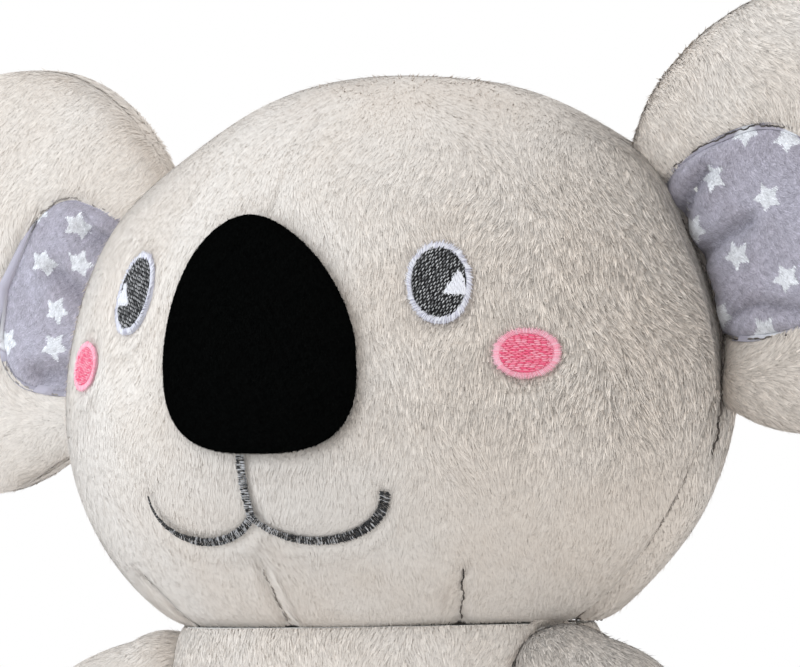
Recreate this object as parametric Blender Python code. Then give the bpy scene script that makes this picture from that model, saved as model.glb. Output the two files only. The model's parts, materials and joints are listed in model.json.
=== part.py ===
"""A sitting plush koala: sewn cloth panels over stuffed fillings. Metres, +Z up, face toward -Y."""

import math

import bmesh
import bpy
import numpy as np
from mathutils import Matrix, Vector

MM = 0.001

# Cloth, thread and the clearance that touching pieces keep
CLOTH = 1.8 * MM
THREAD = 1.0 * MM
GAP = 0.4 * MM
FLOOR_CUT = 0.5 * MM

# Head: a wide ball, fuller toward the muzzle, cut flat at the neck
HEAD_HALF_WIDTH = 106.5 * MM
HEAD_FRONT_DEPTH = 76.5 * MM
HEAD_BACK_DEPTH = 77.5 * MM
HEAD_CROWN = 89.3 * MM
HEAD_JOWL = 88.3 * MM
HEAD_TO_NECK = 72.5 * MM
HEAD_ROUNDNESS = 2.11
FACE_ROUNDNESS = 0.627
HEAD_LEAN_SHARE = 0.056
MUZZLE_SHARE = 0.136
MUZZLE_DROP = 38.0 * MM
MUZZLE_REACH = 38.0 * MM

# Body: a pear that sits on an oval seat panel
BODY_HEIGHT = 118.0 * MM
NECK_HALF_WIDTH = 65.5 * MM
HIP_HALF_WIDTH = 79.0 * MM
HIP_HEIGHT = 38.0 * MM
SEAT_HALF_WIDTH = 58.0 * MM
BODY_DEPTH_SHARE = 0.79
BODY_FORWARD = 6.0 * MM

# Ears: padded discs whose inner edge follows the side of the head
EAR_RADIUS = 65.0 * MM
EAR_OUT = 141.5 * MM
EAR_BACK = 21.0 * MM
EAR_UP = 40.0 * MM
EAR_STAGGER = 7.0 * MM
EAR_TILT = math.radians(24)
EAR_SWEEP = math.radians(8)
EAR_HALF_THICKNESS = 13.0 * MM
EAR_HINGE_OFFSET = 15.0 * MM
EAR_ROOT_GAP = 0.6 * MM
EAR_RIM_POWER = 2.6
LINING_INWARD = 20.0 * MM
LINING_RISE = 1.0 * MM
LINING_HALF_HEIGHT = 32.0 * MM
LINING_OUTER_HALF = 21.0 * MM
LINING_INNER_HALF = 44.0 * MM
LINING_POWER = 2.4
LINING_SINK = 1.2 * MM
EAR_SLACK = 2.0 * MM
FILLING_SHARE = 0.9
EAR_STEP_SHARES = (0, 0.35, 0.62, 0.82, 0.94, 1)

# Nose: a padded pile patch, rounded like an egg above and squarer below
NOSE_HALF_WIDTH = 31.5 * MM
NOSE_ABOVE = 45.0 * MM
NOSE_BELOW = 20.5 * MM
NOSE_UP = -2.0 * MM
NOSE_PAD = 6.0 * MM
NOSE_CORNER_POWER = 2.6

# Eyes, cheeks and mouth: embroidery that lies on the face
EYE_OUT = 51.9 * MM
EYE_UP = 26.5 * MM
EYE_HALF_WIDTH = 10.8 * MM
EYE_HALF_HEIGHT = 11.6 * MM
EYE_TILT = math.radians(12)
EYE_BORDER = 1.9 * MM
HIGHLIGHT_TIP = (1.0 * MM, -2.8 * MM)
HIGHLIGHT_CORNERS = ((8.0 * MM, -3.2 * MM), (5.6 * MM, 3.6 * MM))
CHEEK_OUT = 75.5 * MM
CHEEK_UP = 5.7 * MM
CHEEK_HALF_WIDTH = 10.3 * MM
CHEEK_HALF_HEIGHT = 7.1 * MM
CHEEK_BORDER = 1.5 * MM
MOUTH_LOBE_OUT = 19.0 * MM
MOUTH_CORNER_UP = -33.6 * MM
MOUTH_LOBE_HALF_WIDTH = 21.6 * MM
MOUTH_LOBE_DEPTH = 13.6 * MM
MOUTH_WIDTH = 2.5 * MM

# Arms: stubby lobes that swing on a ball root in the side seam
ARM_OUT = 68.5 * MM
ARM_FORWARD = 20.0 * MM
ARM_BELOW_NECK = 23.0 * MM
ARM_ROOT_RADIUS = 18.5 * MM
ARM_RADIUS = 23.0 * MM
ARM_LENGTH = 74.0 * MM
ARM_SPLAY = math.radians(61)
ARM_REACH = math.radians(14)

# Legs: tapered tubes with a round sole, lying forward on the floor
LEG_OUT = 43.0 * MM
LEG_FORWARD = 71.0 * MM
LEG_ROOT_RADIUS = 22.0 * MM
LEG_RADIUS = 26.0 * MM
LEG_LENGTH = 66.0 * MM
LEG_SPLAY = math.radians(16)
SOLE_RADIUS = 21.0 * MM
SOLE_DOME = 3.0 * MM

# Sides of the facets
HEAD_COLUMNS = 16
HEAD_ROWS = 12
BODY_COLUMNS = 14
BODY_ROWS = 9
EAR_COLUMNS = 26
LIMB_COLUMNS = 16
PATCH_COLUMNS = 24
SOCKET_STEPS = 9

FUR = (0.62, 0.57, 0.52)
STAR_CLOTH = (0.40, 0.39, 0.47)
BLACK_PILE = (0.004, 0.004, 0.004)
WHITE_THREAD = (0.80, 0.79, 0.84)
CHARCOAL_THREAD = (0.045, 0.045, 0.05)
PINK_THREAD = (0.80, 0.12, 0.26)
WADDING = (0.88, 0.87, 0.84)


def spread(first, last, count):
    """Count + 1 even steps from first to last."""
    return [first + (last - first) * step / count for step in range(count + 1)]


def power(value, exponent):
    """A power that keeps the value's sign."""
    return math.copysign(abs(value) ** exponent, value)


def material(name, colour, roughness=0.9):
    """A Principled material that every piece of one cloth or thread shares."""
    made = bpy.data.materials.get(name) or bpy.data.materials.new(name)
    made.use_nodes = True
    shader = made.node_tree.nodes["Principled BSDF"]
    shader.inputs["Base Color"].default_value = (*colour, 1)
    shader.inputs["Roughness"].default_value = roughness
    return made


def pivot(name, place, parent=None):
    """An empty on a joint's axis, placed in the toy's own frame."""
    empty = bpy.data.objects.new(name, None)
    bpy.context.scene.collection.objects.link(empty)
    empty.location = Vector(place)
    if parent:
        empty.parent = parent
        empty.location -= Vector(parent["place"])
    empty["place"] = tuple(place)
    return empty


def add_piece(name, mesh, made_of, carrier):
    """A finished piece: its mesh is in the toy's frame, and its origin goes to its carrier's."""
    data = bpy.data.meshes.new(name)
    bmesh.ops.remove_doubles(mesh, verts=mesh.verts, dist=GAP / 100)
    bmesh.ops.dissolve_degenerate(mesh, edges=mesh.edges, dist=GAP / 100)
    bmesh.ops.recalc_face_normals(mesh, faces=mesh.faces)
    mesh.transform(Matrix.Translation(-Vector(carrier["place"])))
    mesh.to_mesh(data)
    mesh.free()
    data.shade_smooth()
    data.set_sharp_from_angle(angle=math.radians(50))
    data.materials.append(made_of)
    piece = bpy.data.objects.new(name, data)
    piece.parent = carrier
    bpy.context.scene.collection.objects.link(piece)
    return piece


def grid(mesh, rows):
    """Faces over rows of points, each row as long as the next. Returns the rows of vertices."""
    made = [[mesh.verts.new(point) for point in row] for row in rows]
    for lower, upper in zip(made, made[1:]):
        for a, b, c, d in zip(lower, lower[1:], upper[1:], upper):
            mesh.faces.new((a, b, c, d))
    return made


def edge_of(rows, ring):
    """The outline of a grid of vertices. A ring has no sides, and no edge where it ends in a point."""
    if ring:
        return [row for row in (rows[0], rows[-1]) if (row[0].co - row[len(row) // 2].co).length > GAP]
    sides = rows[0] + [row[-1] for row in rows[1:]] + rows[-1][-2::-1]
    return [sides + [row[0] for row in rows[-2:0:-1]] + [rows[0][0]]]


def sheet(outer, inner, ring=False):
    """A closed cloth panel: two grids of points and the wall that joins their edges."""
    mesh = bmesh.new()
    outside = edge_of(grid(mesh, outer), ring)
    inside = edge_of(grid(mesh, inner), ring)
    for above, below in zip(outside, inside):
        for a, b, c, d in zip(above, above[1:], below[1:], below):
            mesh.faces.new((a, b, c, d))
    return mesh


def lump(rows):
    """A closed stuffed form from rings of points. Its first and last rings are capped."""
    mesh = bmesh.new()
    made = grid(mesh, rows)
    for ring in (made[0], made[-1]):
        spread_out = max((vert.co - ring[0].co).length for vert in ring)
        if spread_out > GAP:
            centre = sum((vert.co for vert in ring[:-1]), Vector()) / (len(ring) - 1)
            middle = mesh.verts.new(centre)
            for a, b in zip(ring, ring[1:]):
                mesh.faces.new((a, b, middle))
    return mesh


def cut(piece, cutter, operation="DIFFERENCE"):
    """An exact Boolean with a hidden helper."""
    step = piece.modifiers.new(cutter.name, "BOOLEAN")
    step.operation = operation
    step.object = cutter


def helper(name, mesh, carrier):
    """A cutter, left out of the finished toy."""
    made = add_piece(name, mesh, material("guide", WADDING), carrier)
    made.hide_render = True
    made.display_type = "WIRE"
    return made


# The head's form, in a frame at the head's middle


def head_girth(z, inset):
    """How much of the head's full width is left at a height."""
    reach = (HEAD_CROWN if z > 0 else HEAD_JOWL) - inset
    left = max(0.0, 1 - abs(z / reach) ** HEAD_ROUNDNESS)
    return left ** (1 / HEAD_ROUNDNESS)


def face_depth(z, inset):
    """The front half's depth, swollen at the muzzle."""
    swell = math.exp(-(((z + MUZZLE_DROP) / MUZZLE_REACH) ** 2))
    return HEAD_FRONT_DEPTH * (1 + MUZZLE_SHARE * swell) - inset


def head_point(turn, height, inset):
    """A point of the head at a turn from the face and a height angle, inset from the cloth's face."""
    sine = math.sin(height)
    reach = (HEAD_CROWN if sine > 0 else HEAD_JOWL) - inset
    z = reach * power(sine, 2 / HEAD_ROUNDNESS)
    girth = abs(math.cos(height)) ** (2 / HEAD_ROUNDNESS)
    x = (HEAD_HALF_WIDTH - inset) * girth * math.sin(turn)
    facing = math.cos(turn)
    if facing > 0:
        y = -face_depth(z, inset) * girth * facing ** (2 * FACE_ROUNDNESS)
    else:
        y = -(HEAD_BACK_DEPTH - inset) * girth * facing
    return Vector((x, y + HEAD_LEAN_SHARE * z, z))


def face_point(x, z, lift=0.0):
    """The point of the face at x and z, lifted off the cloth toward the front."""
    girth = head_girth(z, 0)
    across = 1 - (x / (HEAD_HALF_WIDTH * girth)) ** 2
    y = -face_depth(z, 0) * girth * across**FACE_ROUNDNESS
    return Vector((x, y + HEAD_LEAN_SHARE * z, z)) + face_normal(x, z) * lift


def face_normal(x, z):
    """The face's outward direction at x and z."""
    step = GAP
    here = [raw_face_depth(x + dx, z + dz) for dx, dz in ((step, 0), (-step, 0), (0, step), (0, -step))]
    slope_x = (here[0] - here[1]) / (2 * step)
    slope_z = (here[2] - here[3]) / (2 * step)
    return Vector((slope_x, -1, slope_z)).normalized()


def raw_face_depth(x, z):
    """The y of the face at x and z."""
    girth = head_girth(z, 0)
    across = 1 - (x / (HEAD_HALF_WIDTH * girth)) ** 2
    return -face_depth(z, 0) * girth * across**FACE_ROUNDNESS + HEAD_LEAN_SHARE * z


def outside_head(point):
    """Above zero where a point lies outside the head's cloth."""
    x, y, z = point
    if z >= HEAD_CROWN or z <= -HEAD_JOWL:
        return 1.0
    girth = head_girth(z, 0)
    y -= HEAD_LEAN_SHARE * z
    across = (x / (HEAD_HALF_WIDTH * girth)) ** 2
    if y < 0:
        return across + (-y / (face_depth(z, 0) * girth)) ** (1 / FACE_ROUNDNESS) - 1
    return across + (y / (HEAD_BACK_DEPTH * girth)) ** 2 - 1


HEAD_CENTRE = Vector((0, 0, BODY_HEIGHT + HEAD_TO_NECK))
NECK_CENTRE = Vector((0, -BODY_FORWARD, BODY_HEIGHT))


def head_rows(first_turn, last_turn, columns, inset):
    """Rows of the head from the neck to the crown, over a span of turns."""
    reach = HEAD_JOWL - inset
    lowest = -math.asin(((HEAD_TO_NECK - GAP) / reach) ** (HEAD_ROUNDNESS / 2))
    heights = spread(lowest, math.pi / 2, HEAD_ROWS)
    turns = spread(first_turn, last_turn, columns)
    return [[HEAD_CENTRE + head_point(turn, height, inset) for turn in turns] for height in heights]


def make_head(carrier):
    """Front and back panels, joined at the ear-to-ear seam, round one filling."""
    fur = material("beige_plush", FUR)
    quarter = math.pi / 2
    spans = {"head_front": (-quarter, quarter, -GAP / 2), "head_back": (quarter, 3 * quarter, GAP / 2)}
    for name, (first, last, shift) in spans.items():
        panel = sheet(
            head_rows(first, last, HEAD_COLUMNS, 0),
            head_rows(first, last, HEAD_COLUMNS, CLOTH),
        )
        panel.transform(Matrix.Translation((0, shift, 0)))
        add_piece(name, panel, fur, carrier)
    filling = lump(head_rows(-math.pi, math.pi, 2 * HEAD_COLUMNS, CLOTH + GAP))
    add_piece("head_filling", filling, material("wadding", WADDING), carrier)


# Face pieces


def face_patch(outline, lift, thickness, rings=2):
    """A thin patch on the face: an outline of (x, z) shrunk toward its middle in rings."""
    middle = np.mean(outline, axis=0)
    outer, inner = [], []
    for share in spread(1, 0, rings):
        ring = [middle + (np.array(point) - middle) * share for point in outline]
        outer.append([HEAD_CENTRE + face_point(x, z, lift + thickness) for x, z in ring])
        inner.append([HEAD_CENTRE + face_point(x, z, lift) for x, z in ring])
    return sheet(outer, inner, ring=True)


def face_band(outline, hole, lift, thickness):
    """A thin ring on the face between two outlines of as many points."""
    rows = [[], []]
    for row, height in zip(rows, (lift + thickness, lift)):
        for line in (outline, hole):
            row.append([HEAD_CENTRE + face_point(x, z, height) for x, z in line])
    return sheet(rows[0], rows[1], ring=True)


def oval(out, up, half_width, half_height, tilt=0.0, columns=PATCH_COLUMNS):
    """A closed oval outline of (x, z) on the face, at its true width on the turned surface."""
    turned = abs(face_normal(out, up).y)
    points = []
    for angle in spread(0, 2 * math.pi, columns):
        u = half_width * math.cos(angle)
        v = half_height * math.sin(angle)
        across = u * math.cos(tilt) + v * math.sin(tilt)
        along = v * math.cos(tilt) - u * math.sin(tilt)
        points.append((out + across * turned, up + along))
    return points


def mirrored(outline, side):
    """An outline on the toy's left, or its mirror image on the right."""
    return [(side * x, z) for x, z in outline]


def make_eye(label, side, carrier):
    """A satin border, a charcoal iris with a notch, and the white wedge that fills the notch."""
    inner_width = EYE_HALF_WIDTH - EYE_BORDER
    inner_height = EYE_HALF_HEIGHT - EYE_BORDER
    whole = mirrored(oval(EYE_OUT, EYE_UP, EYE_HALF_WIDTH, EYE_HALF_HEIGHT, EYE_TILT), side)
    hole = mirrored(oval(EYE_OUT, EYE_UP, inner_width, inner_height, EYE_TILT), side)
    band = face_band(whole, hole, GAP, THREAD)
    add_piece(f"eye_border_{label}", band, material("white_thread", WHITE_THREAD), carrier)
    iris_edge = oval(EYE_OUT, EYE_UP, inner_width - GAP, inner_height - GAP, EYE_TILT)
    turned = abs(face_normal(EYE_OUT, EYE_UP).y)
    corners = [(EYE_OUT + x * turned, EYE_UP + z) for x, z in HIGHLIGHT_CORNERS]
    tip = (EYE_OUT + HIGHLIGHT_TIP[0] * turned, EYE_UP + HIGHLIGHT_TIP[1])
    first, last = (nearest(iris_edge[:-1], corner) for corner in corners)
    ring = iris_edge[:-1]
    arc = [ring[index % len(ring)] for index in range(first, last + len(ring) * (last < first) + 1)]
    rest = [ring[index % len(ring)] for index in range(last, first + len(ring) * (first < last) + 1)]
    charcoal = material("charcoal_thread", CHARCOAL_THREAD)
    add_piece(f"eye_iris_{label}", fan(mirrored(rest, side), mirrored([tip], side)[0]), charcoal, carrier)
    wedge_tip = (tip[0] + 3 * GAP, tip[1])
    wedge = shrunk([wedge_tip] + arc, 2 * GAP)
    white = material("white_thread", WHITE_THREAD)
    add_piece(
        f"eye_highlight_{label}",
        fan(mirrored(wedge[1:], side), mirrored([wedge[0]], side)[0]),
        white,
        carrier,
    )


def nearest(outline, corner):
    """The index of the outline's point that is nearest to a corner."""
    return min(range(len(outline)), key=lambda index: math.dist(outline[index], corner))


def shrunk(outline, amount):
    """A closed outline drawn in toward its middle by about an amount."""
    middle = np.mean(outline, axis=0)
    drawn = []
    for point in outline:
        away = np.array(point) - middle
        drawn.append(tuple(middle + away * (1 - amount / np.linalg.norm(away))))
    return drawn


def fan(arc, tip):
    """A thin patch between a tip and an arc of (x, z) points, in two steps."""
    rows = [[], []]
    for row, height in zip(rows, (GAP + THREAD, GAP)):
        for share in spread(1, 0, 2):
            line = [np.array(tip) + (np.array(point) - np.array(tip)) * share for point in arc]
            row.append([HEAD_CENTRE + face_point(x, z, height) for x, z in line])
    return sheet(rows[0], rows[1])


def make_cheek(label, side, carrier):
    """A pink filled oval inside its satin border."""
    inner_width = CHEEK_HALF_WIDTH - CHEEK_BORDER
    inner_height = CHEEK_HALF_HEIGHT - CHEEK_BORDER
    whole = mirrored(oval(CHEEK_OUT, CHEEK_UP, CHEEK_HALF_WIDTH, CHEEK_HALF_HEIGHT), side)
    hole = mirrored(oval(CHEEK_OUT, CHEEK_UP, inner_width, inner_height), side)
    middle = mirrored(oval(CHEEK_OUT, CHEEK_UP, inner_width - GAP, inner_height - GAP), side)
    pink = material("pink_thread", PINK_THREAD)
    add_piece(f"cheek_border_{label}", face_band(whole, hole, GAP, THREAD), pink, carrier)
    add_piece(f"cheek_fill_{label}", face_patch(middle, GAP, THREAD), pink, carrier)


def mouth_line():
    """The smile's centre line: two lobes that meet under the nose."""
    meeting = math.acos(-MOUTH_LOBE_OUT / MOUTH_LOBE_HALF_WIDTH)
    lobe = []
    for angle in spread(2 * math.pi - meeting, 2 * math.pi, PATCH_COLUMNS // 2):
        x = MOUTH_LOBE_OUT + MOUTH_LOBE_HALF_WIDTH * math.cos(angle)
        lobe.append((x, MOUTH_CORNER_UP + MOUTH_LOBE_DEPTH * math.sin(angle)))
    return [(-x, z) for x, z in lobe[:0:-1]] + lobe


def ribbon(line, half_widths):
    """A flat thread band on the face along a line of (x, z) points."""
    sides = [[], []]
    for index, (x, z) in enumerate(line):
        before = line[max(index - 1, 0)]
        after = line[min(index + 1, len(line) - 1)]
        along = np.array(after) - np.array(before)
        across = np.array((-along[1], along[0])) / np.linalg.norm(along) * half_widths[index]
        for side, sign in zip(sides, (1, -1)):
            side.append((x + sign * across[0], z + sign * across[1]))
    rows = [
        [[HEAD_CENTRE + face_point(x, z, height) for x, z in side] for side in sides]
        for height in (GAP + THREAD, GAP)
    ]
    return sheet(rows[0], rows[1])


def make_mouth(carrier):
    """The embroidered smile and the stem that joins it to the nose."""
    line = mouth_line()
    last = len(line) - 1
    taper = [MOUTH_WIDTH / 2 * min(1, (1 + 6 * min(i, last - i) / last) / 2) for i in range(last + 1)]
    smile = add_piece("mouth", ribbon(line, taper), material("charcoal_thread", CHARCOAL_THREAD), carrier)
    top = NOSE_UP - NOSE_BELOW - CLOTH - GAP
    bottom = line[last // 2][1]
    stem_line = [(0.0, z) for z in spread(top, bottom, 4)]
    stem = ribbon(stem_line, [MOUTH_WIDTH / 2] * len(stem_line))
    cut(smile, helper("mouth_stem", stem, carrier), "UNION")


def nose_outline(inset):
    """The nose's closed outline of (x, z), egg-shaped above and squarer below."""
    points = []
    for angle in spread(0, 2 * math.pi, PATCH_COLUMNS):
        across, along = math.sin(angle), math.cos(angle)
        if along > 0:
            points.append(((NOSE_HALF_WIDTH - inset) * across, NOSE_UP + (NOSE_ABOVE - inset) * along))
            continue
        squared = 2 / NOSE_CORNER_POWER
        x = (NOSE_HALF_WIDTH - inset) * power(across, squared)
        points.append((x, NOSE_UP + (NOSE_BELOW - inset) * power(along, squared)))
    return points


def nose_rows(inset, sunk):
    """Rings of the nose's padded dome from its edge to its middle, inset from the pile's backing."""
    outline = nose_outline(inset)
    centre_up = NOSE_UP + (NOSE_ABOVE - NOSE_BELOW) / 2
    rows = []
    for angle in spread(0, math.pi / 2, 5):
        share = math.cos(angle)
        lift = GAP + CLOTH - sunk + (NOSE_PAD - GAP) * math.sin(angle)
        ring = [(x * share, centre_up + (z - centre_up) * share) for x, z in outline]
        rows.append([HEAD_CENTRE + face_point(x, z, lift) for x, z in ring])
    return rows


def make_nose(carrier):
    """A black pile cover over a thin pad."""
    cover = sheet(nose_rows(0, 0), nose_rows(CLOTH, CLOTH), ring=True)
    add_piece("nose_cover", cover, material("black_pile", BLACK_PILE), carrier)
    back = [
        [HEAD_CENTRE + face_point(x, z, 2 * GAP) for x, z in ring]
        for ring in (
            [(x * share, nose_middle(z, share)) for x, z in nose_outline(CLOTH + GAP)]
            for share in spread(0, 1, 3)
        )
    ]
    pad = lump(back + nose_rows(CLOTH + GAP, CLOTH + GAP)[1:])
    add_piece("nose_filling", pad, material("wadding", WADDING), carrier)


def nose_middle(z, share):
    """A height drawn in toward the nose's middle."""
    centre_up = NOSE_UP + (NOSE_ABOVE - NOSE_BELOW) / 2
    return centre_up + (z - centre_up) * share


# Ears


class Ear:
    """One ear in its own frame: out along r, up along s and thick along n, with the hinge near its root."""

    def __init__(self, side):
        self.side = side
        up = EAR_UP + side * EAR_STAGGER
        self.centre = HEAD_CENTRE + Vector((EAR_OUT, EAR_BACK, up))
        out = Vector((math.cos(EAR_SWEEP), math.sin(EAR_SWEEP), 0))
        rise = Vector((0, 0, 1))
        self.front = Vector((math.sin(EAR_SWEEP), -math.cos(EAR_SWEEP), 0))
        self.out = out * math.cos(EAR_TILT) + rise * math.sin(EAR_TILT)
        self.up = rise * math.cos(EAR_TILT) - out * math.sin(EAR_TILT)
        self.hinge_r = -self.head_distance(0, 0, 0) + EAR_HINGE_OFFSET
        self.reaches = [self.reach(angle) for angle in self.angles()]

    def angles(self):
        """The directions of the ear's spokes, from straight out and round."""
        return spread(0, 2 * math.pi, EAR_COLUMNS)

    def place(self, r, s, n):
        """A point of the toy from a point of the ear."""
        point = self.centre + self.out * r + self.up * s + self.front * n
        return Vector((self.side * point.x, point.y, point.z))

    def head_distance(self, r, s, swing):
        """How far the head's cloth is from (r, s), inward and swung toward the front."""
        way = -self.out * math.cos(swing) + self.front * math.sin(swing)
        start = self.centre + self.out * r + self.up * s - HEAD_CENTRE
        near, far = 0.0, EAR_OUT
        for _ in range(24):
            middle = (near + far) / 2
            if self.ray_enters(start, way, middle):
                far = middle
            else:
                near = middle
        return near

    def ray_enters(self, start, way, length):
        """Whether the head lies within a length of a start."""
        return any(outside_head(start + way * step) < 0 for step in spread(0, length, 12))

    def root_radius(self, s):
        """The radius about the hinge line that the ear's root may fill at a height."""
        swings = spread(-math.pi / 4, math.pi / 4, 4)
        distances = [self.head_distance(self.hinge_r, s, swing) for swing in swings]
        return min(distances) - EAR_ROOT_GAP

    def reach(self, angle):
        """How far the ear reaches from its middle in a direction."""
        near, far = 0.0, EAR_RADIUS
        if math.cos(angle) > 0:
            return far
        for _ in range(14):
            middle = (near + far) / 2
            r, s = middle * math.cos(angle), middle * math.sin(angle)
            if r < self.hinge_r and self.hinge_r - r > self.root_radius(s):
                far = middle
            else:
                near = middle
        return near

    def half_thickness(self, share, r, s):
        """The padded half thickness at a share of the reach, rounded about the hinge at the root."""
        edge = CLOTH + GAP / 2
        swell = (1 - share**EAR_RIM_POWER) ** (1 / 2)
        thickness = edge + (EAR_HALF_THICKNESS - edge) * swell
        if r < self.hinge_r:
            room = self.root_radius(s) ** 2 - (self.hinge_r - r) ** 2
            thickness = min(thickness, math.sqrt(max(room, edge**2)))
        return thickness

    def lining_share(self, index):
        """The share of a spoke that the star lining covers, all of it at the root."""
        angle = self.angles()[index]
        reach = self.reaches[index]
        near, far = 0.0, reach
        for _ in range(16):
            middle = (near + far) / 2
            r = middle * math.cos(angle) + LINING_INWARD
            s = middle * math.sin(angle) - LINING_RISE
            across = abs(r) / (LINING_OUTER_HALF if r > 0 else LINING_INNER_HALF)
            if across**LINING_POWER + abs(s / LINING_HALF_HEIGHT) ** LINING_POWER > 1:
                far = middle
            else:
                near = middle
        return near / reach

    def surface(self, index, share, inset):
        """The front surface on one spoke, inset from the cloth's face."""
        angle = self.angles()[index]
        reach = self.reaches[index] * share
        r, s = reach * math.cos(angle), reach * math.sin(angle)
        return r, s, max(self.half_thickness(share, r, s) - inset, GAP / 2)

    def row(self, indices, shares, inset, face):
        """Points across spokes, on the ear's front (1) or back (-1) face."""
        return [
            self.place(r, s, face * n)
            for r, s, n in (self.surface(i, share, inset) for i, share in zip(indices, shares))
        ]


def make_ear(label, side, carrier):
    """A plush rim, a star lining let into it, a plush back and the wadding between them."""
    ear = Ear(side)
    fur = material("beige_plush", FUR)
    spokes = list(range(EAR_COLUMNS + 1))
    steps = EAR_STEP_SHARES
    back = [
        [ear.row(spokes, [share] * len(spokes), inset, -1) for share in steps] for inset in (0, CLOTH)
    ]
    add_piece(f"ear_back_{label}", sheet(back[0], back[1], ring=True), fur, carrier)
    lining = [ear.lining_share(i) for i in spokes]
    rim = [i for i in spokes if lining[i] < 0.97]
    turned = sorted(rim[:-1], key=lambda i: (i + EAR_COLUMNS // 2 - 1) % EAR_COLUMNS)
    rows = []
    for inset in (0, CLOTH):
        grid_rows = []
        for share in spread(0, 1, 4):
            shares = [lining[i] + (1 - lining[i]) * share for i in turned]
            grid_rows.append(ear.row(turned, shares, inset, 1))
        rows.append(grid_rows)
    add_piece(f"ear_rim_{label}", sheet(rows[0], rows[1]), fur, carrier)
    rows = []
    for inset in (LINING_SINK, LINING_SINK + CLOTH):
        grid_rows = []
        for share in steps:
            shares = [(lining[i] - 2 * GAP / ear.reaches[i]) * share for i in spokes]
            grid_rows.append(ear.row(spokes, shares, inset, 1))
        rows.append(grid_rows)
    cloth = material("star_plush", STAR_CLOTH)
    add_piece(f"ear_lining_{label}", sheet(rows[0], rows[1], ring=True), cloth, carrier)
    drawn_in = [share * FILLING_SHARE for share in steps[:-1]]
    inset = CLOTH + LINING_SINK + EAR_SLACK
    front = [ear.row(spokes, [share] * len(spokes), inset, 1) for share in drawn_in]
    inset = CLOTH + 2 * GAP
    behind = [ear.row(spokes, [share] * len(spokes), inset, -1) for share in drawn_in[::-1]]
    add_piece(f"ear_filling_{label}", lump(front + behind), material("wadding", WADDING), carrier)


# Body


def body_width(z):
    """The body's half width at a height above the floor."""
    if z > HIP_HEIGHT:
        share = (BODY_HEIGHT - z) / (BODY_HEIGHT - HIP_HEIGHT)
        return NECK_HALF_WIDTH + (HIP_HALF_WIDTH - NECK_HALF_WIDTH) * math.sin(share * math.pi / 2)
    share = (HIP_HEIGHT - z) / HIP_HEIGHT
    return HIP_HALF_WIDTH - (HIP_HALF_WIDTH - SEAT_HALF_WIDTH) * (1 - math.sqrt(1 - share**2))


def body_ring(z, turns, inset):
    """A ring of the body at a height, over a list of turns from the front."""
    half_width = body_width(z) - inset
    half_depth = body_width(z) * BODY_DEPTH_SHARE - inset
    return [
        Vector((half_width * math.sin(turn), -BODY_FORWARD - half_depth * math.cos(turn), z))
        for turn in turns
    ]


def body_heights():
    """Heights of the body's rings, closer together round the seat."""
    lower = [HIP_HEIGHT * (1 - math.sin(angle)) for angle in spread(math.pi / 2, 0, 4)]
    return lower + spread(HIP_HEIGHT, BODY_HEIGHT - GAP, BODY_ROWS - 4)[1:]


def make_body(carrier, roots):
    """Front and back panels, the seat panel under them and the filling, hollowed where a limb sits."""
    fur = material("beige_plush", FUR)
    quarter = math.pi / 2
    spans = {"body_front": (-quarter, quarter, -GAP / 2), "body_back": (quarter, 3 * quarter, GAP / 2)}
    pieces = []
    for name, (first, last, shift) in spans.items():
        turns = spread(first, last, BODY_COLUMNS)
        outer = [body_ring(z, turns, 0) for z in body_heights()]
        inner = [body_ring(z, turns, CLOTH) for z in body_heights()]
        panel = sheet(outer, inner)
        panel.transform(Matrix.Translation((0, shift, 0)))
        pieces.append(add_piece(name, panel, fur, carrier))
    turns = spread(-math.pi, math.pi, 2 * BODY_COLUMNS)
    rings = [body_ring(z, turns, CLOTH + GAP) for z in body_heights()[1:]]
    filling = lump([body_ring(CLOTH + GAP, turns, 2 * CLOTH)] + rings)
    pieces.append(add_piece("body_filling", filling, material("wadding", WADDING), carrier))
    rim = SEAT_HALF_WIDTH - CLOTH - GAP
    rings = []
    for z in (0, CLOTH):
        ring = [
            Vector((rim * math.sin(turn), -BODY_FORWARD - seat_depth(turn), z)) for turn in turns
        ]
        rings.append(ring)
    pieces.append(add_piece("seat_panel", lump(rings), fur, carrier))
    for root in roots:
        for piece in pieces:
            cut(piece, root)


def seat_depth(turn):
    """How far the seat panel's edge lies in front of the body's middle."""
    return (SEAT_HALF_WIDTH * BODY_DEPTH_SHARE - CLOTH - GAP) * math.cos(turn)


# Limbs


def limb_frame(side, way):
    """Turns a limb that points along +X into its own direction, mirrored for the right side."""
    out = Vector(way).normalized()
    across = Vector((0, 0, 1)).cross(out).normalized()
    turned = Matrix((out, across, out.cross(across))).transposed().to_4x4()
    return Matrix.Diagonal((side, 1, 1, 1)) @ turned


def limb_profile(root, belly, length, inset):
    """(distance, radius) along a limb: a ball root, a swelling length and a round end."""
    profile = []
    for angle in spread(math.pi, math.pi / 2, 4):
        profile.append(((root - inset) * math.cos(angle), (root - inset) * math.sin(angle)))
    straight = length - belly
    for share in spread(0, 1, 3)[1:-1]:
        swell = root + (belly - root) * math.sin(share * math.pi / 2)
        profile.append((straight * share, swell - inset))
    for angle in spread(math.pi / 2, 0, 4):
        profile.append((straight + (belly - inset) * math.cos(angle), (belly - inset) * math.sin(angle)))
    return profile


def turned_rows(profile, first, last, columns):
    """Rings of a profile turned about +X."""
    angles = spread(first, last, columns)
    return [[Vector((x, r * math.cos(a), r * math.sin(a))) for a in angles] for x, r in profile]


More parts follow.
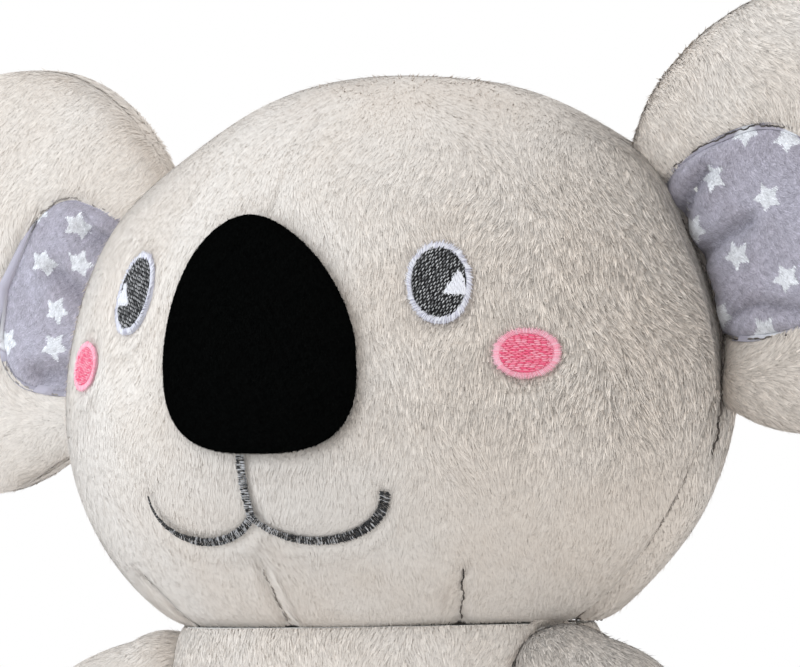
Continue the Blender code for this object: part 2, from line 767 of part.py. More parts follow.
def root_cutter(name, place, side, radius, lean, flare, carrier):
    """The hollow in which a limb's ball root swings about the side-to-side axis.

    Past the ball it opens as a cone, leaning as far from the axis as the limb does. A lean of a
    quarter turn backward leaves the plain ball.
    """
    room = radius + 3 * GAP
    profile = [
        (-room * math.cos(angle), room * math.sin(angle))
        for angle in spread(0, math.pi / 2 - lean, SOCKET_STEPS)
    ]
    x, r = profile[-1]
    profile.append((x + flare * math.cos(lean), r + flare * math.sin(lean)))
    profile.append((profile[-1][0], 0))
    mesh = lump(turned_rows(profile, 0, 2 * math.pi, 2 * SOCKET_STEPS))
    mesh.transform(Matrix.Translation(place) @ Matrix.Diagonal((side, 1, 1, 1)))
    return helper(name, mesh, carrier)


def arm_place(side):
    """The middle of an arm's ball root."""
    return Vector((side * ARM_OUT, -ARM_FORWARD, BODY_HEIGHT - ARM_BELOW_NECK))


def arm_way():
    """The direction in which the left arm points at rest."""
    flat = math.sin(ARM_SPLAY)
    return Vector((flat * math.cos(ARM_REACH), -flat * math.sin(ARM_REACH), -math.cos(ARM_SPLAY)))


def arm_lean():
    """How far the arm's swelling underside leans from its swing axis."""
    swell = (ARM_RADIUS - ARM_ROOT_RADIUS) * math.pi / 2
    return math.acos(arm_way().x) + math.atan(swell / (ARM_LENGTH - ARM_RADIUS))


def make_arm(label, side, carrier):
    """Two plush panels, upper and lower, round a filling."""
    fur = material("beige_plush", FUR)
    frame = Matrix.Translation(arm_place(side)) @ limb_frame(side, arm_way())
    for name, first in (("upper", 0), ("lower", math.pi)):
        rows = [
            turned_rows(
                limb_profile(ARM_ROOT_RADIUS, ARM_RADIUS, ARM_LENGTH, inset),
                first,
                first + math.pi,
                LIMB_COLUMNS // 2,
            )
            for inset in (0, CLOTH)
        ]
        panel = sheet(rows[0], rows[1])
        shift = GAP / 2 if first == 0 else -GAP / 2
        panel.transform(frame @ Matrix.Translation((0, 0, shift)))
        add_piece(f"arm_{name}_{label}", panel, fur, carrier)
    profile = limb_profile(ARM_ROOT_RADIUS, ARM_RADIUS, ARM_LENGTH, CLOTH + GAP)
    filling = lump(turned_rows(profile, 0, 2 * math.pi, LIMB_COLUMNS))
    filling.transform(frame)
    add_piece(f"arm_filling_{label}", filling, material("wadding", WADDING), carrier)


def leg_place(side):
    """The middle of a leg's ball root, as high as the root's radius less what the floor flattens."""
    return Vector((side * LEG_OUT, -LEG_FORWARD, LEG_ROOT_RADIUS - FLOOR_CUT))


def leg_profile(inset):
    """(distance, radius) along a leg, up to the rounded edge of its sole."""
    profile = []
    for angle in spread(math.pi, math.pi / 2, 4):
        radius = LEG_ROOT_RADIUS - inset
        profile.append((radius * math.cos(angle), radius * math.sin(angle)))
    turn = LEG_RADIUS - SOLE_RADIUS
    straight = LEG_LENGTH - turn
    for share in spread(0, 1, 3)[1:]:
        swell = LEG_ROOT_RADIUS + (LEG_RADIUS - LEG_ROOT_RADIUS) * math.sin(share * math.pi / 2)
        profile.append((straight * share, swell - inset))
    for angle in spread(math.pi / 2, 0, 3)[1:]:
        out = straight + turn * math.cos(angle)
        profile.append((out - inset * math.cos(angle), SOLE_RADIUS + (turn - inset) * math.sin(angle)))
    return profile


def leg_point(x, y, z):
    """Lifts a leg's turned point so that its underside stays level with the root's."""
    share = min(max(x / LEG_LENGTH, 0), 1)
    rise = (LEG_RADIUS - LEG_ROOT_RADIUS) * math.sin(share * math.pi / 2)
    return Vector((x, y, z + rise))


def make_leg(label, side, carrier, floor):
    """A plush tube, a round sole let into its end and the filling."""
    fur = material("beige_plush", FUR)
    way = (math.sin(LEG_SPLAY), -math.cos(LEG_SPLAY), 0)
    frame = Matrix.Translation(leg_place(side)) @ limb_frame(side, way)
    rows = []
    for inset in (0, CLOTH):
        turned = turned_rows(leg_profile(inset), -math.pi / 2, 3 * math.pi / 2, LIMB_COLUMNS)
        rows.append([[frame @ leg_point(*point) for point in row] for row in turned])
    skin = add_piece(f"leg_skin_{label}", sheet(rows[0], rows[1], ring=True), fur, carrier)
    rows = []
    for inset in (0, CLOTH):
        rings = []
        for share in spread(1, 0, 3):
            radius = (SOLE_RADIUS - GAP - CLOTH) * share
            out = LEG_LENGTH - inset + SOLE_DOME * (1 - share**2)
            rings.append((out, radius))
        turned = turned_rows(rings, -math.pi / 2, 3 * math.pi / 2, LIMB_COLUMNS)
        rows.append([[frame @ leg_point(*point) for point in row] for row in turned])
    sole = sheet(rows[0], rows[1], ring=True)
    add_piece(f"leg_sole_{label}", sole, material("star_plush", STAR_CLOTH), carrier)
    profile = [(x, r) for x, r in leg_profile(CLOTH + GAP) if x < LEG_LENGTH - CLOTH - GAP]
    profile.append((LEG_LENGTH - CLOTH - GAP, profile[-1][1] / 2))
    turned = turned_rows(profile, -math.pi / 2, 3 * math.pi / 2, LIMB_COLUMNS)
    filling = lump([[frame @ leg_point(*point) for point in row] for row in turned])
    add_piece(f"leg_filling_{label}", filling, material("wadding", WADDING), carrier)
    cut(skin, floor)


def centre_on_floor(toy):
    """Moves the toy so that the middle of its underside is at the origin."""
    bpy.context.view_layer.update()
    corners = [
        piece.matrix_world @ vert.co
        for piece in bpy.data.objects
        if piece.type == "MESH" and not piece.hide_render
        for vert in piece.data.vertices
    ]
    for axis in range(2):
        values = [corner[axis] for corner in corners]
        toy.location[axis] -= (min(values) + max(values)) / 2


def make_toy():
    """The whole koala, parented to one empty."""
    toy = pivot("toy", (0, 0, 0))
    head = pivot("head_pivot", NECK_CENTRE, toy)
    make_head(head)
    make_nose(head)
    make_mouth(head)
    reach = LEG_LENGTH * 3
    floor_box = bmesh.new()
    bmesh.ops.create_cube(floor_box, size=1)
    floor_box.transform(
        Matrix.Translation((0, 0, -reach / 2)) @ Matrix.Diagonal((reach * 2, reach * 2, reach, 1))
    )
    floor = helper("floor_cut", floor_box, toy)
    roots = []
    for label, side in (("left", 1), ("right", -1)):
        make_eye(label, side, head)
        make_cheek(label, side, head)
        ear = Ear(side)
        hinge = pivot(f"ear_pivot_{label}", ear.place(ear.hinge_r, 0, 0), head)
        make_ear(label, side, hinge)
        shoulder = pivot(f"arm_pivot_{label}", arm_place(side), toy)
        make_arm(label, side, shoulder)
        socket = (f"shoulder_{label}", arm_place(side), side, ARM_ROOT_RADIUS)
        roots.append(root_cutter(*socket, arm_lean(), ARM_LENGTH / 2, toy))
        hip = pivot(f"leg_pivot_{label}", leg_place(side), toy)
        make_leg(label, side, hip, floor)
        socket = (f"hip_{label}", leg_place(side), side, LEG_ROOT_RADIUS)
        roots.append(root_cutter(*socket, -math.pi / 2, 0, toy))
    make_body(toy, roots)
    centre_on_floor(toy)


def main():
    """Clears the scene and builds the toy."""
    for item in list(bpy.data.objects):
        bpy.data.objects.remove(item)
    make_toy()


main()
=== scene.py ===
"""Dresses the plush koala: pile, embroidery, seams, stars, studio light and the photograph's view."""

from __future__ import annotations

import json
import logging
import math
from collections.abc import Callable, Sequence
from dataclasses import dataclass, field, replace
from enum import Enum
from functools import cache

import bmesh
import bpy
import numpy as np
from bmesh.types import BMEdge, BMesh, BMFace, BMVert
from bpy.types import Material, Mesh, Node, NodeSocket, NodeTree, Object
from mathutils import Matrix, Vector


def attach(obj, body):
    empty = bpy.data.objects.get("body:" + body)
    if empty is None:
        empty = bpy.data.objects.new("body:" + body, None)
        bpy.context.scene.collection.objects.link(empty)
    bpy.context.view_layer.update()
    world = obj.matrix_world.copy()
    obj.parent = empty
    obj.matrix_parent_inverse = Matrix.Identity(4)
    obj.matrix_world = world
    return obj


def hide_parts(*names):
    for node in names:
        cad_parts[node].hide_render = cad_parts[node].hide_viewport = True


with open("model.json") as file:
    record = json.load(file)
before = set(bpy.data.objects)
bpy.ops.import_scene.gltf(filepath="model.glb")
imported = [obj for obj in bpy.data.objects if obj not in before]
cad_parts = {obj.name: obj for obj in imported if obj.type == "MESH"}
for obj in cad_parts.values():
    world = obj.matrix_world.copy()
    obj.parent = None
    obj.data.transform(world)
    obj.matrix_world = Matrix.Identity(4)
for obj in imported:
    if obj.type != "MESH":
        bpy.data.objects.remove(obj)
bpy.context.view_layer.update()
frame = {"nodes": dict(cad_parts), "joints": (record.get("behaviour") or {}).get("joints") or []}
LOG = logging.getLogger("koala")

Array = np.ndarray
Field = Callable[[Array], Array]
Lay = Callable[[Array, Array], Array]
Outline = Callable[[Array], tuple[Array, Array]]

MM = 0.001
QUARTER = math.pi * 0.5
TURN = math.tau
CLOTH = 1.8 * MM
STUFFING_INSET = 3.2 * MM
STUFFING_GRID = (48, 24)
GAP = 0.4 * MM
WELD = 0.02 * MM


class Side(Enum):
    """The toy's own left and right."""

    LEFT = 1
    RIGHT = -1

    @property
    def label(self) -> str:
        """The word used in the names of nodes and bodies."""
        return self.name.lower()

    @property
    def mirror(self) -> Array:
        """Turns a place on the toy's left into the same one on this side."""
        return np.array([self.value, 1, 1])

    def pick(self, pair: Sequence[float]) -> float:
        """The left or the right one of a pair."""
        return pair[0 if self is Side.LEFT else 1]


class Slot(Enum):
    """The record's material slots."""

    PLUSH = "beige_plush"
    STARS = "star_plush"
    BLACK = "black_pile"
    CHARCOAL = "charcoal_thread"
    WHITE = "white_thread"
    PINK = "pink_thread"
    WADDING = "wadding"


def unit(vectors: Array) -> Array:
    """Rows of vectors at length one."""
    return vectors / np.maximum(np.linalg.norm(vectors, axis=1, keepdims=True), 1e-9)


def wander(points: Array, reach: float, seed: int) -> Array:
    """A smooth field that wanders between about -1 and 1.

    Args:
        points: Places, one a row.
        reach: The usual length of one swell, in metres.
        seed: Picks the field.

    Returns:
        One value for each place.
    """
    rng = np.random.default_rng(seed)
    ways = unit(rng.normal(size=(9, 3))) * rng.uniform(0.6, 1.6, (9, 1)) * TURN / reach
    return np.sin(points @ ways.T + rng.uniform(0, TURN, 9)).sum(axis=1) / 3.2


def bell(away: Array, width: float = 1.0) -> Array:
    """1 at no distance, falling off smoothly over a width."""
    return np.exp(-((away / width) ** 2))


def distance_to(points: Array, line: Array) -> Array:
    """The distance of each point from a line of points."""
    least = np.full(len(points), np.inf)
    for start, end in zip(line, line[1:]):
        along = end - start
        share = np.clip((points - start) @ along / max(along @ along, 1e-12), 0, 1)
        least = np.minimum(least, np.linalg.norm(points - start - share[:, None] * along, axis=1))
    return least


def spaced(line: Array, step: float) -> tuple[Array, Array]:
    """Even places along a line of points.

    Args:
        line: Points, one a row.
        step: The spacing wanted, in metres.

    Returns:
        The places and the line's direction at each.
    """
    lengths = np.linalg.norm(np.diff(line, axis=0), axis=1)
    passed = np.concatenate([[0], np.cumsum(lengths)])
    at = np.linspace(0, passed[-1], max(2, round(passed[-1] / step)))
    places = np.stack([np.interp(at, passed, line[:, axis]) for axis in range(3)], axis=1)
    return places, unit(np.gradient(places, axis=0))


def finished(name: str, shape: BMesh) -> Mesh:
    """A shape as a smooth mesh."""
    mesh = bpy.data.meshes.new(name)
    shape.to_mesh(mesh)
    shape.free()
    mesh.shade_smooth()
    return mesh


def linked(name: str, data: bpy.types.ID | None) -> Object:
    """A new object of the scene that shows a mesh, a light or the camera."""
    made = bpy.data.objects.new(name, data)
    bpy.context.scene.collection.objects.link(made)
    return made


def add_socket(tree: NodeTree, name: str, kind: str, value: object = None, way: str = "INPUT") -> None:
    """A socket on a node group, with its first value."""
    made = tree.interface.new_socket(name, in_out=way, socket_type=f"NodeSocket{kind}")
    if value is not None:
        made.default_value = value


class NodeBench:
    """Adds nodes to a tree and wires them."""

    def __init__(self, tree: NodeTree) -> None:
        """Takes the tree to work on."""
        self.tree = tree

    def feed(self, target: NodeSocket, value: object) -> None:
        """Wires a socket to an input, or sets the input to a value."""
        if isinstance(value, NodeSocket):
            self.tree.links.new(value, target)
        else:
            target.default_value = value

    def settle(self, node: Node, values: dict[str, object]) -> None:
        """Feeds a node's inputs by name."""
        for name, value in values.items():
            self.feed(node.inputs[name], value)

    def add(self, kind: str, values: dict[str, object] | None = None, **settings: object) -> Node:
        """A new node with its settings and what its inputs take."""
        node = self.tree.nodes.new(kind)
        for name, value in settings.items():
            setattr(node, name, value)
        self.settle(node, values or {})
        return node

    def attribute(self, name: str) -> NodeSocket:
        """A number that the mesh carries."""
        return self.add("ShaderNodeAttribute", attribute_name=name).outputs["Fac"]

    def maths(self, operation: str, *values: object) -> NodeSocket:
        """The result of a sum on sockets and numbers."""
        node = self.add("ShaderNodeMath", operation=operation)
        for value, target in zip(values, node.inputs):
            self.feed(target, value)
        return node.outputs[0]

    def mix(self, share: object, first: object, second: object, kind: str = "MIX") -> NodeSocket:
        """Two colours mixed by a share."""
        node = self.add("ShaderNodeMix", data_type="RGBA", blend_type=kind)
        for value, index in ((share, 0), (first, 6), (second, 7)):
            self.feed(node.inputs[index], value)
        return node.outputs[2]

    def bump(self, shader: Node, height: NodeSocket, strength: float, distance: float) -> None:
        """Lets a height turn the shader's normal."""
        node = self.add("ShaderNodeBump", {"Strength": strength, "Distance": distance, "Height": height})
        self.feed(shader.inputs["Normal"], node.outputs["Normal"])


@cache
def pile_tone() -> NodeTree:
    """The group that colours pile from its roots to its tips, with brushed patches; the darker roots are painted shade
    deep in the pile.
    """
    tree = bpy.data.node_groups.new("Pile Tone", "ShaderNodeTree")
    for name in ("Root", "Tip", "Brushed", "Print"):
        add_socket(tree, name, "Color", (0.5, 0.5, 0.5, 1))
    for name, value in (("Patches", 30.0), ("Patch Strength", 0.3), ("Variation", 0.3)):
        add_socket(tree, name, "Float", value)
    add_socket(tree, "Colour", "Color", way="OUTPUT")
    bench = NodeBench(tree)
    given = bench.add("NodeGroupInput").outputs
    place = bench.add("ShaderNodeTexCoord").outputs["Object"]
    broad = bench.add("ShaderNodeTexNoise", {"Detail": 3, "Vector": place, "Scale": given["Patches"]})
    edges = {"Value": broad.outputs["Fac"], "From Min": 0.42, "From Max": 0.62}
    patches = bench.add("ShaderNodeMapRange", edges).outputs["Result"]
    tips = bench.mix(bench.maths("MULTIPLY", patches, given["Patch Strength"]), given["Tip"], given["Brushed"])
    tips = bench.mix(bench.attribute("print"), tips, given["Print"])
    # Painted shade: each tuft runs from the darker root colour at its base to the tip colour, as shade falls deep in
    # the pile; depth sets how much of it shows.
    height = bench.maths("POWER", bench.attribute("tip"), 0.6)
    dyed = bench.maths("MULTIPLY", bench.attribute("print"), 0.75)
    roots = bench.mix(dyed, given["Root"], given["Print"])
    roots = bench.mix(bench.attribute("depth"), tips, roots)
    colour = bench.mix(height, roots, tips)
    shade = bench.maths("SUBTRACT", bench.attribute("shade"), 0.5)
    level = bench.maths("MULTIPLY_ADD", shade, given["Variation"], 1.0)
    grey = bench.add("ShaderNodeCombineColor")
    for target in grey.inputs[:3]:
        bench.feed(target, level)
    colour = bench.mix(1.0, colour, grey.outputs[0], "MULTIPLY")
    bench.add("NodeGroupOutput", {"Colour": colour})
    return tree


@cache
def thread_tone() -> NodeTree:
    """The group that colours each stitch a little differently and gives it the twist of its yarn."""
    tree = bpy.data.node_groups.new("Thread Tone", "ShaderNodeTree")
    for name, value in (("Dark", 0.1), ("Light", 0.5)):
        add_socket(tree, name, "Color", (value, value, value, 1))
    add_socket(tree, "Turns", "Float", 7.0)
    for name, kind in (("Colour", "Color"), ("Twist", "Float")):
        add_socket(tree, name, kind, way="OUTPUT")
    bench = NodeBench(tree)
    given = bench.add("NodeGroupInput").outputs
    colour = bench.mix(bench.attribute("shade"), given["Dark"], given["Light"])
    along = bench.maths("MULTIPLY", bench.attribute("tip"), given["Turns"])
    turned = bench.maths("ADD", along, bench.attribute("turn"))
    wave = bench.maths("SINE", bench.maths("MULTIPLY", turned, TURN))
    bench.add("NodeGroupOutput", {"Colour": colour, "Twist": wave})
    return tree


@dataclass(frozen=True)
class Finish:
    """A named surface, whose material is made once."""

    name: str

    def paint(self, bench: NodeBench, shader: Node) -> None:
        """Sets and wires the surface's own nodes."""

    @cache
    def material(self) -> Material:
        """The finish as a material."""
        made = bpy.data.materials.new(self.name)
        made.use_nodes = True
        self.paint(NodeBench(made.node_tree), made.node_tree.nodes["Principled BSDF"])
        return made


@dataclass(frozen=True)
class PileFinish(Finish):
    """Plush or velvet: roots darkened with painted shade deep in the pile, pale tips, brushed patches and a soft bloom.
    """

    # root: the pile's colour with painted shade deep in it, at the tufts' base and on the cloth between them.
    root: tuple[float, float, float]
    tip: tuple[float, float, float]
    brushed: tuple[float, float, float]
    print_colour: tuple[float, float, float] = (0.8, 0.8, 0.84)
    patches: float = 22.0
    patch_strength: float = 0.3
    variation: float = 0.8
    sheen: float = 0.25
    sheen_spread: float = 0.6
    roughness: float = 0.85
    specular: float = 0.1

    def paint(self, bench: NodeBench, shader: Node) -> None:
        """Wires the tone of the pile and sets its bloom."""
        tone = bench.add("ShaderNodeGroup", node_tree=pile_tone())
        colours = {"Root": self.root, "Tip": self.tip, "Brushed": self.brushed, "Print": self.print_colour}
        bench.settle(tone, {name: (*colour, 1) for name, colour in colours.items()})
        bench.settle(tone, {"Patches": self.patches, "Patch Strength": self.patch_strength})
        bench.settle(tone, {"Variation": self.variation})
        bench.settle(shader, {"Base Color": tone.outputs["Colour"], "Roughness": self.roughness})
        bench.settle(shader, {"Specular IOR Level": self.specular})
        bench.settle(shader, {"Sheen Weight": self.sheen, "Sheen Roughness": self.sheen_spread})


@dataclass(frozen=True)
class ThreadFinish(Finish):
    """Embroidery yarn: a silky twisted thread whose stitches differ a little."""

    dark: tuple[float, float, float]
    light: tuple[float, float, float]
    roughness: float = 0.55
    specular: float = 0.25
    relief: float = 0.5
    relief_height: float = 0.05 * MM

    def paint(self, bench: NodeBench, shader: Node) -> None:
        """Wires the tone and the twist of the yarn."""
        tone = bench.add("ShaderNodeGroup", node_tree=thread_tone())
        bench.settle(tone, {"Dark": (*self.dark, 1), "Light": (*self.light, 1)})
        bench.bump(shader, tone.outputs["Twist"], self.relief, self.relief_height)
        bench.settle(shader, {"Base Color": tone.outputs["Colour"], "Roughness": self.roughness})
        bench.settle(shader, {"Specular IOR Level": self.specular})


@dataclass(frozen=True)
class WaddingFinish(Finish):
    """White fibre filling, matt and clumpy."""

    dark: tuple[float, float, float] = (0.72, 0.71, 0.68)
    light: tuple[float, float, float] = (0.9, 0.89, 0.86)
    clumps: float = 160.0
    relief: float = 0.6
    relief_height: float = 1.0 * MM

    def paint(self, bench: NodeBench, shader: Node) -> None:
        """Wires the clumps of the fibre."""
        place = bench.add("ShaderNodeTexCoord").outputs["Object"]
        clumps = bench.add("ShaderNodeTexNoise", {"Scale": self.clumps, "Detail": 6, "Vector": place}).outputs["Fac"]
        white = bench.mix(clumps, (*self.dark, 1), (*self.light, 1))
        bench.bump(shader, clumps, self.relief, self.relief_height)
        bench.settle(shader, {"Base Color": white, "Roughness": 0.95})


# The roots' darker colours are painted shade deep in the pile.
PLUSH = PileFinish(
    "warm grey plush", (0.34, 0.29, 0.245), (0.77, 0.70, 0.632), (0.865, 0.83, 0.79), patch_strength=0.45
)
STAR_PLUSH = PileFinish(
    "lavender star plush",
    (0.27, 0.25, 0.32),
    (0.50, 0.47, 0.53),
    (0.60, 0.59, 0.68),
    print_colour=(0.86, 0.87, 0.90),
    patches=45.0,
    patch_strength=0.45,
)
BLACK_PILE = PileFinish(
    "black velvet",
    (0.001, 0.001, 0.001),
    (0.003, 0.0034, 0.0032),
    (0.004, 0.004, 0.004),
    sheen=0.0,
    roughness=1.0,
    specular=0.0,
)
# Its light colour paints the sheen highlights on the eyes' and the mouth's dark stitches.
CHARCOAL = ThreadFinish("charcoal thread", (0.004, 0.004, 0.005), (0.62, 0.62, 0.63))
WHITE = ThreadFinish("white thread", (0.52, 0.51, 0.61), (0.88, 0.88, 0.92))
PINK = ThreadFinish("pink thread", (0.95, 0.085, 0.22), (1.0, 0.62, 0.71))
# Seam threads stand for the shade at the bottom of the seams' grooves: painted shade, darker where a seam lies in shade
# and paler where it lies in the light.
DARK_SEAM_SHADE = ThreadFinish("seam thread", (0.05, 0.042, 0.038), (0.16, 0.14, 0.125), roughness=0.8)
PALE_SEAM_SHADE = ThreadFinish("pale seam thread", (0.24, 0.215, 0.19), (0.42, 0.38, 0.345), roughness=0.8)
WADDING = WaddingFinish("white wadding")


@cache
def planter() -> NodeTree:
    """The group that plants one template on each point of a mesh and joins the ground under it."""
    tree = bpy.data.node_groups.new("Planter", "GeometryNodeTree")
    for name, kind in (("Roots", "Geometry"), ("Template", "Object"), ("Ground", "Object")):
        add_socket(tree, name, kind)
    add_socket(tree, "Planted", "Geometry", way="OUTPUT")
    bench = NodeBench(tree)
    given = bench.add("NodeGroupInput").outputs

    def carried(name: str) -> NodeSocket:
        """A vector that the roots carry."""
        node = bench.add("GeometryNodeInputNamedAttribute", {"Name": name}, data_type="FLOAT_VECTOR")
        return node.outputs["Attribute"]

    template = bench.add("GeometryNodeObjectInfo", {"Object": given["Template"]})
    ground = bench.add("GeometryNodeObjectInfo", {"Object": given["Ground"]})
    lifted = bench.add("FunctionNodeAlignRotationToVector", {"Vector": carried("way")}, axis="Z")
    aims = {"Rotation": lifted.outputs[0], "Vector": carried("facing")}
    faced = bench.add("FunctionNodeAlignRotationToVector", aims, axis="Y", pivot_axis="Z")
    copies = {
        "Points": given["Roots"],
        "Instance": template.outputs["Geometry"],
        "Rotation": faced.outputs[0],
        "Scale": carried("size"),
    }
    planted = bench.add("GeometryNodeInstanceOnPoints", copies)
    real = bench.add("GeometryNodeRealizeInstances", {"Geometry": planted.outputs["Instances"]})
    joined = bench.add("GeometryNodeJoinGeometry")
    for part in (real, ground):
        bench.feed(joined.inputs["Geometry"], part.outputs["Geometry"])
    bench.add("NodeGroupOutput", {"Planted": joined.outputs["Geometry"]})
    return tree


def tuft_mesh() -> Mesh:
    """One tuft: a blade as long as 1 that lies on its neighbours like a tile and ends in a point."""
    shape = bmesh.new()
    bmesh.ops.create_circle(shape, segments=3, radius=1, cap_ends=True)
    for vert, corner in zip(shape.verts, (Vector((0.5, 0, 0)), Vector((0, 0.01, 1)), Vector((-0.5, 0, 0)))):
        vert.co = corner
    shape.normal_update()
    bmesh.ops.reverse_faces(shape, faces=[face for face in shape.faces if face.normal.y < 0])
    return template_mesh("tuft", shape, lambda points: points[:, 2], lambda points: points[:, 0] * 0)


def stitch_mesh() -> Mesh:
    """One stitch: a yarn as long as 1 that arches between its two needle holes."""
    shape = bmesh.new()
    bmesh.ops.create_cone(shape, segments=6, radius1=0.5, radius2=0.5, depth=1, cap_ends=True)
    rungs = [edge for edge in shape.edges if abs(edge.verts[0].co.z - edge.verts[1].co.z) > 0.5]
    bmesh.ops.subdivide_edges(shape, edges=rungs, cuts=3)
    for vert in shape.verts:
        middle = 1 - abs(2 * vert.co.z) ** 2.5
        swell = 0.35 + 0.65 * max(middle, 0) ** 0.5
        vert.co = Vector((vert.co.x * swell, vert.co.y * swell + 0.5 * middle, vert.co.z))
    bmesh.ops.recalc_face_normals(shape, faces=shape.faces[:])

    def turn(points: Array) -> Array:
        """The place round the yarn, from 0 to 1."""
        return np.arctan2(points[:, 1], points[:, 0]) / (TURN) % 1

    return template_mesh("stitch", shape, lambda points: points[:, 2] + 0.5, turn)


def template_mesh(name: str, shape: BMesh, along: Field, turn: Field) -> Mesh:
    """A small mesh that carries how far along and round itself each corner lies."""
    mesh = finished(name, shape)
    points = coordinates(mesh)
    carry(mesh, "tip", along(points))
    carry(mesh, "turn", turn(points))
    return mesh


def coordinates(mesh: Mesh, kind: str = "co") -> Array:
    """The places of a mesh's vertices, or their normals."""
    flat = np.empty(len(mesh.vertices) * 3, np.float32)
    mesh.vertices.foreach_get(kind, flat)
    return flat.reshape(-1, 3).astype(float)


def carry(mesh: Mesh, name: str, values: Array) -> None:
    """Stores a number or a vector on each vertex."""
    kind, key = ("FLOAT", "value") if values.ndim == 1 else ("FLOAT_VECTOR", "vector")
    made = mesh.attributes.new(name, kind, "POINT")
    made.data.foreach_set(key, np.ascontiguousarray(values, np.float32).ravel())


@dataclass
class Roots:
    """Where tufts or stitches stand, how they point and how large they are."""

    places: Array
    ways: Array
    facings: Array
    sizes: Array
    shades: Array
    prints: Array | None = None
    grounds: Array | None = None
    depths: Array | None = None


def plant(
    name: str, roots: Roots, template: Mesh, finish: PileFinish | ThreadFinish,
    ground: Mesh | None = None,
) -> Object:
    """Plants a template on each root.

    Args:
        name: The finished piece's name.
        roots: Where and how the copies stand.
        template: The tuft or stitch.
        finish: What the piece is made of.
        ground: The cloth under the pile, if the piece has one.

    Returns:
        The finished piece, linked to the scene.
    """
    points = bpy.data.meshes.new(f"{name}_roots")
    points.vertices.add(len(roots.places))
    points.vertices.foreach_set("co", np.ascontiguousarray(roots.places, np.float32).ravel())
    carried = {"way": roots.ways, "facing": roots.facings, "size": roots.sizes, "shade": roots.shades}
    carried["print"] = np.zeros(len(roots.places)) if roots.prints is None else roots.prints
    if roots.grounds is not None:
        carried.update(ground=roots.grounds, depth=roots.depths)
    for key, values in carried.items():
        carry(points, key, values)
    helpers = [linked(f"{name}_{i}", mesh) for i, mesh in enumerate((points, template, ground)) if mesh]
    tree = planter()
    step = helpers[0].modifiers.new("planting", "NODES")
    step.node_group = tree
    sockets = [s for s in tree.interface.items_tree if s.in_out == "INPUT" and s.name != "Roots"]
    for target, item in zip(sockets, helpers[1:]):
        step[target.identifier] = item
    bpy.context.view_layer.update()
    held = helpers[0].evaluated_get(bpy.context.evaluated_depsgraph_get())
    mesh = bpy.data.meshes.new_from_object(held)
    for item in helpers:
        bpy.data.objects.remove(item)
    if roots.grounds is not None:
        soften(mesh)
    for spare in ("way", "facing", "size", "ground"):
        if spare in mesh.attributes:
            mesh.attributes.remove(mesh.attributes[spare])
    mesh.name = name
    mesh.materials.clear()
    mesh.materials.append(finish.material())
    return linked(name, mesh)


def soften(mesh: Mesh, least_share: float = 0.03, ruffled_share: float = 0.2) -> None:
    """Shades each tuft mostly like the cloth it stands on, as dense soft pile looks."""
    depths = np.empty(len(mesh.vertices), np.float32)
    mesh.attributes["depth"].data.foreach_get("value", depths)
    own_share = least_share + ruffled_share * depths[:, None]
    flat = np.empty(len(mesh.vertices) * 3, np.float32)
    mesh.attributes["ground"].data.foreach_get("vector", flat)
    ground = flat.reshape(-1, 3).copy()
    mesh.vertices.foreach_get("normal", flat)
    own = flat.reshape(-1, 3)
    bare = np.linalg.norm(ground, axis=1) < 0.5
    turned = np.sign((own * ground).sum(axis=1, keepdims=True))
    mixed = unit(ground * (1 - own_share) + own * turned * own_share)
    mesh.normals_split_custom_set_from_vertices(np.where(bare[:, None], own, mixed))


def dress(piece: Object, body: str, slot: Slot, *nodes: str, fill: float | None = None) -> None:
    """Hangs a finished piece on the body that it rides on, hides the parts that it stands for and logs its faces."""
    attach(piece, body)
    if nodes:
        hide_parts(*nodes)
    LOG.info("%s: %d faces on %s", piece.name, len(piece.data.polygons), body)


@dataclass(frozen=True)
class Pile:
    """How a cloth's pile stands.

    A density is in tufts for each square millimetre, and loose is the share that stands away.
    """

    length: float = 3.3 * MM
    width: float = 0.5 * MM
    density: float = 6.0
    stray: float = 0.16
    loose: float = 0.04
    swirl: float = 0.32
    seed: int = 1
    length_shares: tuple[float, float] = (0.75, 1.15)
    width_shares: tuple[float, float] = (0.7, 1.3)
    rise_shares: tuple[float, float] = (0.1, 0.5)
    stand_shares: tuple[float, float] = (0.03, 0.2)
    broad_swirl: float = 34 * MM
    fine_swirl: float = 7 * MM
    mottle_reach: float = 2.6 * MM
    seam_reach: float = 3.0 * MM
    edge_reach: float = 3.2 * MM


FACE_PILE = Pile(density=8.0, width=0.53 * MM, seed=3)
HIDDEN_PILE = Pile(density=3.3, width=0.95 * MM, seed=4)
RIM_PILE = Pile(density=7.5)
ARM_PILE = Pile(density=5.2, width=0.6 * MM)
LEG_PILE = Pile(density=3.5, width=0.95 * MM)
SEAT_PILE = Pile(length=1.2 * MM, loose=0.0, density=1.5, seed=48)
LINING_PILE = Pile(length=1.15 * MM, width=0.42 * MM, density=11.5, stray=0.3, swirl=0.5)
SOLE_PILE = Pile(length=1.7 * MM, width=0.38 * MM, density=9.0, stray=0.3, swirl=0.5)
NOSE_PILE = Pile(length=1.0 * MM, width=0.4 * MM, density=6.0, stray=0.5, loose=0.2, seed=5)
BODY_PILES = {
    "front": Pile(density=5.4, width=3.2 / 5.4 * MM, seed=45),
    "back": Pile(density=3.3, width=3.2 / 3.3 * MM, seed=44),
}


@dataclass
class Seam:
    """A line along which the cloth is drawn in."""

    line: Array
    depth: float = 1.6 * MM
    width: float = 2.6 * MM
    part: float = 0.5 * MM
    shorten: float = 0.55

    def dip(self, points: Array) -> Array:
        """How far the cloth is drawn in at each point."""
        return self.depth * bell(distance_to(points, self.line), self.width)


